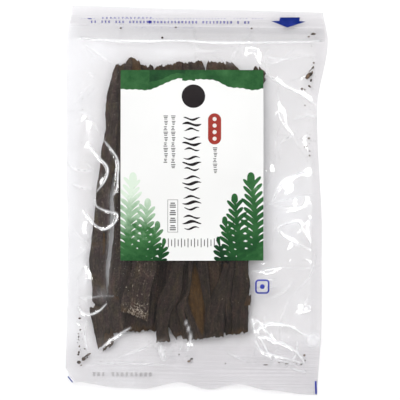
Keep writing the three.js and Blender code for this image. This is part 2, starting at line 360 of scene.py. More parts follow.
def crease_height(x, y):
    """All the creases together: sharp-backed ridges that fade at both ends."""
    total = np.zeros(x.shape)
    uneven = 1 + rippled(x, y, CREASE_BREAKS)
    loose = random_creases(LOOSE_PATCHES, SEED, **LOOSE_CREASES)
    for near, gap, fade, steepness, width in near_creases(x, y, CREASES + loose):
        ridge = np.exp(-(np.sqrt(gap**2 + CREASE_TIP**2) - CREASE_TIP) / width)
        total[near] += steepness * width * ridge * fade
    return total * uneven


def over_strips(x, y):
    """1 where strips of wakame lie close under the film."""
    return within(x, (-67, -61), (34, 40)) * within(y, (-90, -82), (80, 88))


def whitening_and_painted_highlights(x, y):
    """0 to 1: how white the film is drawn: along its steepest creases, partly real stress whitening and
    partly painted highlight that carries their glints along them; along its old folds; along the painted
    light lines; and in the painted highlight spots.
    """
    most = np.zeros(x.shape)

    def draw(lines, share):
        for near, gap, fade, strength, width in near_creases(x, y, lines):
            line = share[near] * strength * fade * np.exp(-((gap / width) ** 2))
            most[near] = np.maximum(most[near], line)

    for near, gap, fade, steepness, _ in near_creases(x, y, CREASES):
        whitening_and_highlight = max(0, steepness - STRESS_FROM) / (1 - STRESS_FROM)
        most[near] = np.maximum(most[near], whitening_and_highlight * fade * np.exp(-((gap / STRESS_WIDTH) ** 2)))
    draw(random_creases(OLD_FOLDS, SEED + 1, **FOLD_LINES), 1 - 0.95 * over_strips(x, y))
    draw(PAINTED_LIGHT_LINES, np.ones(x.shape))
    most *= 0.9 + rippled(x, y, STRESS_BREAKS)
    for middle, reach, strength in PAINTED_HIGHLIGHT_SPOTS:
        most = np.maximum(most, strength * spot(x, y, middle, reach))
    return np.clip(most, 0, 1)


def pucker_height(x, y):
    """All the puckers together: blunt cones with even sides, so that each side catches one light."""
    total = np.zeros(x.shape)
    for (px, py), reach, longer, turn, steepness in PUCKERS:
        along, across = turned(x - px, y - py, -math.radians(turn))
        away = np.sqrt((along / longer) ** 2 + across**2 + PUCKER_TIP)
        total += steepness * reach * np.log1p(np.exp(PUCKER_RIM * (1 - away / reach))) / PUCKER_RIM
    return total


def slack(x, y):
    """1 where the film is free of the strips and the seals, so that it wrinkles."""
    inside = within(x, (SEAL["left"], SEAL["left"] + SEAL_EASE), (SEAL["right"] - SEAL_EASE, SEAL["right"]))
    return inside * within(y, (SEAL["foot"] + 3, SEAL["foot"] + 16), (ZIP["low"] - 13, ZIP["low"]))


def rib_relief(x, y):
    """Fine level ribs that the heat seal at the foot and the header's film keep."""
    wander = 0.4 * np.sin(x / 17) + 0.25 * np.sin(x / 7 + 2)
    foot = ramp(-y, -SEAL["foot"], -SEAL["foot"] + 2)
    header = ramp(y, ZIP["high"], ZIP["high"] + 1)
    turns = (y + wander) * 2 * np.pi
    in_foot = RIB_HEIGHT * foot * np.sin(turns / RIB_PITCH["foot"])
    return in_foot + RIB_HEIGHT * header * np.sin(turns / RIB_PITCH["header"])


def folded(x, y, layer, roundness):
    """Folds with sharp backs and broad valleys between."""
    height, size, seed = layer
    return height * (1 - FOLD_DROP * np.sqrt(ripples(x, y, size, seed) ** 2 + roundness))


def front_height(x, y):
    """The front film's height, with all its creases, waves and ribs."""
    waves = folded(x, y, BROAD_FOLDS, 0.0009) + folded(x, y, SMALL_FOLDS, 0.002) + rippled(x, y, FINE_WAVES)
    relief = crease_height(x, y) + (waves + pucker_height(x, y)) * slack(x, y)
    height = calm_front_height(x, y) + np.maximum(relief, -LOWEST_RELIEF) * clear_of_label(x, y)
    height += zip_relief(y) + rib_relief(x, y)
    return np.maximum(height, back_height(x, y) + FILM_PAIR)


# ---------------------------------------------------------------------------
# Meshes


def add_to_scene(name, data):
    """A new object that holds the data, at the origin."""
    made = bpy.data.objects.new(name, data)
    bpy.context.scene.collection.objects.link(made)
    return made


def make_object(name, vertices, faces, smooth_to=50):
    """A mesh object from points in millimetres."""
    mesh = bpy.data.meshes.new(name)
    mesh.from_pydata((np.asarray(vertices) * MM).tolist(), [], faces)
    mesh.validate()
    mesh.shade_smooth()
    mesh.set_sharp_from_angle(angle=math.radians(smooth_to))
    return add_to_scene(name, mesh)


def stacked(x, y, z):
    """Rows of coordinates as one list of points."""
    return np.stack([x, y, z], -1).reshape(-1, 3)


def rim_quads(ids, lower):
    """Faces that close the rim of a grid of points, whose lower layer's ids are higher by so much."""
    rim = [*ids[0, :-1], *ids[:-1, -1], *ids[-1, :0:-1], *ids[:0:-1, 0]]
    pairs = zip(rim, rim[1:] + rim[:1])
    return [[int(here + lower), int(after + lower), int(after), int(here)] for here, after in pairs]


def closed_sheet(name, across, along, place, front, back, back_step=1):
    """A closed sheet: a front on a fine grid, a back on every back_step-th line of it, and a rim between."""
    x, y = place(*np.meshgrid(across, along))
    wide, deep = len(across), len(along)
    size = wide * deep
    ids = np.arange(size).reshape(deep, wide)
    quads = np.stack([ids[:-1, :-1], ids[:-1, 1:], ids[1:, 1:], ids[1:, :-1]], -1).reshape(-1, 4)
    faces = quads.tolist()
    for j in range(0, deep - 1, back_step):
        for i in range(0, wide - 1, back_step):
            ring = [(i, j), (i, j + back_step), (i + back_step, j + back_step), (i + back_step, j)]
            ring = with_rim_points(ring, wide - 1, deep - 1)
            faces.append([size + b * wide + a for a, b in ring])
    faces += rim_quads(ids, size)
    points = np.vstack([stacked(x, y, front(x, y)), stacked(x, y, back(x, y))])
    return make_object(name, *without_spare_points(points, faces))


def with_rim_points(ring, last_column, last_row):
    """The ring of a coarse cell with every fine point of its sides that lie on the rim."""
    out = []
    for (ai, aj), (bi, bj) in zip(ring, ring[1:] + ring[:1]):
        on_side = ai == bi and ai in (0, last_column)
        on_end = aj == bj and aj in (0, last_row)
        steps = abs(bi - ai) + abs(bj - aj) if on_side or on_end else 1
        for k in range(steps):
            out.append((ai + (bi - ai) * k // steps, aj + (bj - aj) * k // steps))
    return out


def without_spare_points(vertices, faces):
    """The points that the faces use, and the faces renumbered to match."""
    used = np.zeros(len(vertices), bool)
    for face in faces:
        used[face] = True
    new = np.cumsum(used) - 1
    return vertices[used], [[int(new[k]) for k in face] for face in faces]


def spaced(start, end, step):
    """Evenly spaced numbers from start to end, an even number of steps apart."""
    count = 2 * math.ceil((end - start) / (2 * step))
    return np.linspace(start, end, count + 1)


def stepped(spans, end):
    """Numbers along the spans, each a (start, step) pair, with a multiple of BACK_STEP steps in each."""
    out = []
    for (start, step), after in zip(spans, [span[0] for span in spans[1:]] + [end]):
        count = BACK_STEP * math.ceil((after - start) / (BACK_STEP * step))
        out.append(np.linspace(start, after, count, endpoint=False))
    return np.append(np.concatenate(out), end)


def add_attribute(piece, name, values):
    """A number for each point of the piece, for its material."""
    layer = piece.data.attributes.new(name, "FLOAT", "POINT")
    layer.data.foreach_set("value", np.asarray(values, np.float32))


def points_of(piece):
    """A piece's vertices in millimetres."""
    flat = np.empty(len(piece.data.vertices) * 3)
    piece.data.vertices.foreach_get("co", flat)
    return flat.reshape(-1, 3) / MM


def settle(piece, slot, *replaced):
    """The piece's body, and the solids that it stands for. Its slot is not used."""
    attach(piece, "root")
    if replaced:
        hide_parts(*replaced)
    return piece


def give(piece, material, slot, *replaced):
    """The piece's material and body, and the solids that it stands for. Its slot is not used."""
    piece.data.materials.append(material)
    return settle(piece, slot, *replaced)


# ---------------------------------------------------------------------------
# Materials

WHITE = (1, 1, 1, 1)


def linear(red, green, blue):
    """A screen colour, 0 to 255, as the linear colour that shaders take."""
    parts = [c / 255 for c in (red, green, blue)]
    return tuple(c / 12.92 if c <= 0.04045 else ((c + 0.055) / 1.055) ** 2.4 for c in parts) + (1,)


class Nodes:
    """A node tree, with short ways to add and join its nodes. Kinds are given without their prefix."""

    def __init__(self, tree, prefix="ShaderNode"):
        self.tree = tree
        self.prefix = prefix

    def node(self, kind, values=None, **settings):
        made = self.tree.nodes.new(self.prefix + kind)
        for key, value in settings.items():
            setattr(made, key, value)
        for key, value in (values or {}).items():
            self.feed(made.inputs[key], value)
        return made

    def feed(self, socket, value):
        if isinstance(value, bpy.types.NodeSocket):
            self.tree.links.new(value, socket)
        else:
            socket.default_value = value

    def ramp(self, value, *stops):
        """A colour ramp from (place, colour) pairs; a lone number is a grey."""
        made = self.node("ValToRGB", {"Fac": value})
        elements = made.color_ramp.elements
        while len(elements) < len(stops):
            elements.new(1)
        for element, (place, colour) in zip(elements, stops):
            element.position = place
            element.color = colour if isinstance(colour, tuple) else (colour, colour, colour, 1)
        return made.outputs[0]


class Finish(Nodes):
    """A material, with the patterns and shaders that the finishes share."""

    def __init__(self, name):
        self.material = bpy.data.materials.new(name)
        self.material.use_nodes = True
        super().__init__(self.material.node_tree)
        self.tree.nodes.clear()
        self.output = self.node("OutputMaterial")

    def coordinates(self, scale=(1, 1, 1), kind="Object"):
        """Object coordinates in metres, or the UV map's in its own unit, scaled to stretch a pattern."""
        source = self.node("TexCoord").outputs[kind]
        return self.node("Mapping", {"Vector": source, "Scale": scale}).outputs[0]

    def noise(self, vector, scale, detail=3.0, roughness=0.55):
        values = {"Vector": vector, "Scale": scale, "Detail": detail, "Roughness": roughness}
        return self.node("TexNoise", values).outputs[0]

    def lengthwise(self, stretch, scale, detail, roughness):
        """Noise on the UV map, stretched along a strip; the smaller the stretch, the longer its marks."""
        return self.noise(self.coordinates((1, stretch, 1), "UV"), scale, detail, roughness)

    def mix(self, factor, a, b, mode="MIX"):
        made = self.node("Mix", {0: factor}, data_type="RGBA", blend_type=mode)
        self.feed(made.inputs[6], a)
        self.feed(made.inputs[7], b)
        return made.outputs[2]

    def times(self, colour, *ramped):
        """A colour multiplied by a ramp's."""
        return self.mix(1.0, colour, self.ramp(*ramped), "MULTIPLY")

    def maths(self, a, b, operation="ADD"):
        return self.node("Math", {0: a, 1: b}, operation=operation).outputs[0]

    def scaled(self, value, factor):
        return self.maths(value, factor, "MULTIPLY")

    def attribute(self, name):
        return self.node("Attribute", attribute_name=name).outputs["Fac"]

    def bump(self, height, distance, strength=1.0):
        return self.node("Bump", {"Height": height, "Distance": distance, "Strength": strength}).outputs[0]

    def reflectance(self, head_on, normal=None):
        """How much a film reflects: head_on from straight above, and all of it at a grazing angle."""
        edge = self.node("LayerWeight", {"Blend": 0.5})
        if normal:
            self.feed(edge.inputs["Normal"], normal)
        grazing = self.maths(edge.outputs["Facing"], 5.0, "POWER")
        return self.maths(self.scaled(grazing, 1 - head_on), head_on)

    def clear(self, tint):
        return self.node("BsdfTransparent", {"Color": tint}).outputs[0]

    def gloss(self, roughness, normal=None):
        made = self.node("BsdfGlossy", {"Color": WHITE, "Roughness": roughness})
        if normal:
            self.feed(made.inputs["Normal"], normal)
        return made.outputs[0]

    def blend(self, share, first, second):
        return self.node("MixShader", {0: share, 1: first, 2: second}).outputs[0]

    def solid(self, colour, roughness, specular, normal=None, tint=WHITE):
        """An opaque surface, which finishes the material."""
        body = self.node("BsdfPrincipled", {"Base Color": colour, "Roughness": roughness})
        body.inputs["Specular IOR Level"].default_value = specular
        body.inputs["Specular Tint"].default_value = tint
        if normal:
            self.feed(body.inputs["Normal"], normal)
        return self.show(body.outputs[0])

    def show(self, shader):
        self.feed(self.output.inputs["Surface"], shader)
        return self.material


def film_finish():
    """Clear film with a sharp gloss. Where it is sealed it is milkier, with fine level lines. The milk
    attribute also carries painted shade and light, the pale attribute is painted light that draws the film
    lighter and whiter, and the white along its creases is partly painted highlight.
    """
    f = Finish("clear_film")
    faint = f.noise(f.coordinates(), 160, 2.0)
    surface = f.bump(faint, 0.00012, 0.2)
    milk_and_shade, pale = f.attribute("milk"), f.attribute("pale")
    lines = f.noise(f.coordinates((14, 1500, 1)), 1.0, 3.0, 0.6)
    shade = f.ramp(lines, (0.35, (0.92, 0.915, 0.92, 1)), (0.62, (0.995, 0.992, 0.996, 1)))
    # Painted light: the film's tint is lighter where the pale attribute is high
    plain = f.mix(pale, (0.957, 0.953, 0.956, 1), (0.989, 0.988, 0.993, 1))
    tint = f.mix(milk_and_shade, plain, shade, "MULTIPLY")
    milk = f.node("BsdfDiffuse", {"Color": (0.9, 0.9, 0.92, 1)}).outputs[0]
    # Painted light: the pale attribute also adds a little diffuse white, and the crease whitening, partly
    # painted highlight, adds more
    sealed = f.maths(f.scaled(milk_and_shade, 0.1), f.scaled(pale, 0.04))
    cloud = f.maths(sealed, f.maths(f.attribute("whitening_and_highlight"), 0.004))
    body = f.blend(cloud, f.clear(tint), milk)
    gloss = f.blend(0.45, f.gloss(0.07, surface), f.gloss(0.2, surface))
    return f.show(f.blend(f.reflectance(0.055, surface), body, gloss))


def zip_finish():
    """The closure's thicker plastic: greyer than the film, most between its tracks, fading to its edges. Its
    foot edge and its left end are drawn lighter, which is painted light.
    """
    f = Finish("zip_plastic")
    streaks = f.noise(f.coordinates((2, 60, 60)), 12, 3.0)
    place = f.node("SeparateXYZ", {0: f.coordinates()}).outputs

    def stretch(axis, start, end):
        limits = {"From Min": start * MM, "From Max": end * MM}
        return f.node("MapRange", {"Value": place[axis], **limits}).outputs[0]

    # Painted light: the darkest band lies towards the top, so that the foot edge is drawn lighter where the
    # closure's own shadow falls
    shade = f.ramp(stretch("Y", ZIP["low"], ZIP["high"]), (0.02, 1.0), (0.45, 0.998),
                   (0.64, (0.967, 0.967, 0.969, 1)), (0.84, (0.972, 0.972, 0.974, 1)), (1.0, 0.99))
    shade = f.mix(0.5, shade, f.ramp(streaks, (0.3, (0.965, 0.965, 0.97, 1)), (0.7, 1.0)), "MULTIPLY")
    # Painted light: the closure is drawn nearly clear towards its left end, where the light falls from the
    # left
    tint = f.mix(stretch("X", -62, -20), (0.997, 0.997, 0.998, 1), shade)
    return f.show(f.blend(f.reflectance(0.01), f.clear(tint), f.gloss(0.3)))


def wakame_finish():
    """Dried seaweed: brown-black, mottled and streaked lengthwise, brown where thin, with dry salt on it."""
    f = Finish("dried_wakame")
    long = f.lengthwise(0.08, 0.9, 5.0, 0.65)
    short = f.lengthwise(0.4, 0.8, 6.0, 0.7)
    hairs = f.lengthwise(0.05, 3.4, 3.0, 0.6)
    crinkle = f.lengthwise(1.1, 0.4, 6.0, 0.75)
    broad = f.lengthwise(0.35, 0.2, 3.0, 0.6)
    specks = f.lengthwise(0.8, 1.2, 4.0, 0.7)
    cast = f.lengthwise(0.35, 0.3, 4.0, 0.6)
    grain = f.mix(0.4, f.mix(0.5, long, short), crinkle)
    streaks = f.ramp(f.mix(0.2, grain, hairs), (0.36, linear(15, 10, 8)), (0.5, linear(37, 29, 25)),
                     (0.64, linear(76, 64, 55)))
    dark, middling, light = linear(26, 19, 17), linear(40, 32, 28), linear(66, 53, 40)
    patches = f.ramp(broad, (0.34, dark), (0.5, middling), (0.66, light))
    colour = f.mix(0.45, streaks, patches)
    colour = f.times(colour, f.attribute("tone"), (0.0, 0.83), (1.0, (1.95, 2.08, 2.3, 1)))
    colour = f.times(colour, specks, (0.38, 0.55), (0.62, 1.45))
    colour = f.times(colour, cast, (0.36, (1.05, 0.86, 1.0, 1)), (0.5, 1.0), (0.64, (0.98, 1.04, 0.78, 1)))
    brown = f.ramp(grain, (0.36, linear(44, 27, 10)), (0.62, linear(84, 60, 26)))
    colour = f.mix(f.attribute("brown"), colour, brown)
    # Dry salt: fine curly threads of crystals in patches, and dust
    salt = f.attribute("salt")
    curls = f.lengthwise(0.6, 0.9, 1.0, 0.4)
    threads = f.ramp(f.maths(f.maths(curls, 0.5, "SUBTRACT"), 0.0, "ABSOLUTE"), (0.012, 1.0), (0.04, 0.0))
    patch = f.ramp(f.maths(short, f.scaled(salt, 0.26)), (0.62, 0.0), (0.78, 1.0))
    crystals = f.maths(threads, patch, "MULTIPLY")
    fibres = f.lengthwise(0.55, 1.9, 8.0, 0.75)
    dust = f.ramp(f.maths(fibres, f.scaled(salt, 0.07)), (0.67, 0.0), (0.86, 0.7))
    colour = f.mix(f.maths(crystals, dust, "MAXIMUM"), colour, linear(214, 200, 182))
    surface = f.bump(f.maths(grain, f.scaled(hairs, 0.3)), 0.001, 0.8)
    return f.solid(colour, 0.6, 0.08, surface, (1.0, 0.85, 0.72, 1))


def crumb_finish():
    """Broken bits of dried seaweed: dark brown, lighter in patches."""
    f = Finish("wakame_crumbs")
    broad = f.noise(f.coordinates(), 420, 3.0, 0.6)
    dark, middling, light = linear(26, 18, 12), linear(62, 46, 34), linear(118, 92, 66)
    colour = f.ramp(broad, (0.35, dark), (0.5, middling), (0.68, light))
    return f.solid(colour, 0.7, 0.15)


def paper_finish():
    """Coated white paper with a faint tooth."""
    f = Finish("label_paper")
    tooth = f.noise(f.coordinates(), 900, 3.0)
    broad = f.noise(f.coordinates(), 25, 2.0)
    shade = f.ramp(broad, (0.3, linear(226, 226, 225)), (0.7, linear(230, 230, 229)))
    return f.solid(shade, 0.6, 0.12, f.bump(tooth, 0.00004, 0.3))


def ink_finish(name, deep, light):
    """Printed ink laid down like a wash, with uneven depth, from one screen colour to another."""
    f = Finish(name)
    tone = f.maths(f.noise(f.coordinates(), 70, 4.0, 0.6), f.attribute("wash"))
    return f.solid(f.ramp(tone, (0.3, linear(*deep)), (1.0, linear(*light))), 0.45, 0.1)


def green_finish():
    """Green wash: from pale to deep, clouded like watercolour, paler towards the tips."""
    f = Finish("green_wash")
    place = f.coordinates()
    cloud = f.noise(place, 90, 4.0, 0.6)
    fine = f.noise(place, 600, 3.0, 0.6)
    tone = f.maths(f.maths(cloud, f.scaled(fine, 0.25)), f.attribute("wash"))
    colour = f.ramp(f.scaled(tone, 0.6), (0.06, linear(6, 50, 24)), (0.24, linear(26, 78, 36)),
                    (0.45, linear(54, 106, 58)), (0.7, linear(150, 180, 150)), (0.95, linear(208, 222, 206)))
    return f.solid(colour, 0.5, 0.1)


# ---------------------------------------------------------------------------
# The film and its closure

BACK_STEP = 4
FILM_ACROSS = [(-HALF_WIDTH, 1.2), (-71.0, 0.4), (-45.0, 1.6), (35.0, 0.54), (74.0, 1.2)]
FILM_ALONG = [(FOOT_Y, 0.56), (98.0, 0.7)]
STRIP_VEIL = 0.18

ZIP_INSET = {"across": 1.5, "along": 0.6}
ZIP_THICK = 0.24
ZIP_ROWS = 49
ZIP_RIB = {"height": 0.45, "width": 0.4, "inset": 0.6}


def pouch_place(u, v):
    """A point of the nominal rectangle, pulled out to the pouch's true outline."""
    across = (u + HALF_WIDTH) / (2 * HALF_WIDTH)
    left, right = eased(LEFT_EDGE, v), eased(RIGHT_EDGE, v)
    foot = eased(FOOT_DRAWN_BACK, u) * ramp(-v, -SEAL["foot"], -FOOT_Y)
    opening = eased(OPEN_EDGE, u) * ramp(v, ZIP["high"], OPEN_Y)
    return left + (right - left) * across, v + foot + opening


def milkiness_and_shade(x, y):
    """0 to 1: how milky the film is, in its seals, where it is creased above the foot, and in the header. It
    also paints shade and light, as the light falls from the left: the right seal is made milkier and so
    darker, and the foot less milky and so lighter towards its left end.
    """
    sealed = ramp(-y, -SEAL["foot"] - 0.5, -SEAL["foot"] + 0.5)
    # Painted light: the foot is less milky, and so lighter, towards its left end
    foot = np.maximum(sealed, 0.95 * ramp(-y, 80, 96)) * (1 - 0.5 * ramp(-x, 0, 40))
    # Painted shade: the right seal is milkier, and so darker
    side = 0.4 * ramp(x, SEAL["right"] - 0.5, SEAL["right"] + 0.5)
    header = ramp(y, ZIP["high"], ZIP["high"] + 1) * (0.2 + 0.5 * ramp(-y, -OPEN_Y, -ZIP["high"]))
    return np.maximum(np.maximum(foot, side), header)


def painted_light(x, y):
    """0 to 1: painted light, how much lighter and whiter the film is drawn. It is most in the left seal and
    the header's left, where the light falls from the left, in a band that lifts the label's shadow beside
    its right edge, and in the painted light patches. Over the strips it is a faint even veil instead, and it
    is less where the film is milky.
    """
    left = ramp(-x, -SEAL["left"] - 0.5, -SEAL["left"] + 0.5)
    header = ramp(y, ZIP["high"], ZIP["high"] + 1) * ramp(-x, -60, 40)
    # Painted light: a band that lifts the shadow beside the label's right edge
    beside_label = within(x, (40, 41), (42, 47)) * within(y, (-48, -38), (72, 84))
    patches = sum(share * spot(x, y, middle, reach) for middle, reach, share in PAINTED_LIGHT_PATCHES)
    bare = np.clip(left + 0.6 * header + beside_label + patches, 0, 1) * (1 - milkiness_and_shade(x, y))
    return bare + (STRIP_VEIL * ramp(-x, 38, 44) - bare) * over_strips(x, y)


def make_film():
    """The front and back films as one closed skin, with how milky, pale and white along its creases each
    point is. The milkiness carries some painted shade and light, the paleness is painted light, and the
    crease whitening is partly painted highlight.
    """
    across = stepped(FILM_ACROSS, HALF_WIDTH)
    along = stepped(FILM_ALONG, OPEN_Y)
    film = closed_sheet("film", across, along, pouch_place, front_height, back_height, BACK_STEP)
    x, y, z = points_of(film).T
    add_attribute(film, "milk", milkiness_and_shade(x, y))
    add_attribute(film, "pale", painted_light(x, y))
    add_attribute(film, "whitening_and_highlight", np.where(z > seal_height(x, y), whitening_and_painted_highlights(x, y), 0))
    give(film, film_finish(), "clear_film", "pouch")


def make_zip():
    """The closure between the films: a strip with two tracks that snap together."""
    end = HALF_WIDTH - ZIP_INSET["across"]
    across = spaced(-end, end, 2.5)
    along = np.linspace(ZIP["low"] + ZIP_INSET["along"], ZIP["high"] - ZIP_INSET["along"], ZIP_ROWS)

    def rib(y, middle):
        return ZIP_RIB["height"] * np.exp(-(((y - middle) / ZIP_RIB["width"]) ** 2))

    def front(x, y):
        ribs = rib(y, TRACK["low"] + ZIP_RIB["inset"]) + rib(y, TRACK["high"] - ZIP_RIB["inset"])
        return seal_height(x, y) + ZIP_THICK / 2 + ribs

    def back(x, y):
        return seal_height(x, y) - ZIP_THICK / 2

    closure = closed_sheet("zip_closure", across, along, pouch_place, front, back)
    give(closure, zip_finish(), "clear_film", "pouch")


# ---------------------------------------------------------------------------
# The wakame

STRIP_THICK = 0.5
FILM_CLEARANCE = 0.3
FILM_GAP = 0.1
EDGE_CURL = 0.6
END_TEAR = 5.0  # how far from its ends a strip is torn and worn
WORN_BROWN = 0.6
PATTERN_SHIFT = (37.7, 211.3)  # moves each strip's pattern, so that no two are alike

# Layers of ripples, each with its height, size and seed
RAGGED_SIDE = [(0.5, 9, 3.3), (0.35, 2.6, 9.1)]
TORN_END = [(1.1, 3.4, 5.7), (1.3, 1.2, 2.2)]
TORN_TEETH = {"height": 4.0, "size": 1.9, "seed": 8.4, "from": 0.3}
WEAR = (1.5, 4, 5.5)
# Layers that change slowly one way: how fast, and the height, size and seed
PLEATS = [(0.12, 0.9, 3.6, 1.1), (0.2, 0.5, 1.5, 7.9), (0.6, 0.3, 3.1, 4.4)]
SWAY = [(0, 0.8, 34, 6.1), (0.5, 0.3, 9, 2.7)]


def strip(level, tone, left, right, brown=0, salt=0):
    """A strip's level between the films, its tone, its left and right edges from its top to its foot, and
    how brown and how salty it is."""
    return {"level": level, "tone": tone, "left": left, "right": right, "brown": brown, "salt": salt}


# The lower strips fill the bundle out, and the upper ones are those that show from the front.
LOWER_STRIPS = [
    strip(0.2, 0.35, [(-51, 80), (-57, 20), (-61, -20), (-62.5, -45), (-60, -70)],
          [(-45, 79), (-49, 30), (-53.2, -3), (-54, -30), (-54, -50), (-52, -72)]),
    strip(0.16, 0.3, [(-46, 78), (-50, 30), (-49.6, -3), (-49.6, -30), (-50.6, -50), (-51, -78)],
          [(-30, 78), (-29, 0), (-30, -40), (-33, -79)]),
    strip(0.2, 0.2, [(-34, 78), (-34, 0), (-36, -78)], [(-16, 78), (-14, 0), (-15, -50), (-20, -78)]),
    strip(0.24, 0.3, [(-20, 78), (-18, 0), (-22, -78)], [(2, 78), (0, 0), (-4, -50), (-16, -77)]),
    strip(0.2, 0.25, [(-4, 78), (-4, 0), (-9, -78)], [(14, 78), (16, 0), (12, -80)]),
    strip(0.18, 0.3, [(10, 78), (10, 0), (6, -81)], [(29, 78), (30, 0), (26, -79)]),
    strip(0.24, 0.35, [(24, 78), (24, 0), (20, -79)], [(37, 77), (35, 0), (32, -76)]),
    strip(0.5, 0.3, [(-32, 79), (-33, 10), (-37, -40), (-40, -79)], [(-16, 79), (-18, 10), (-24, -79)]),
    strip(0.52, 0.3, [(2, 79), (3, 0), (4, -79)], [(18, 79), (20, 0), (21, -79)]),
]
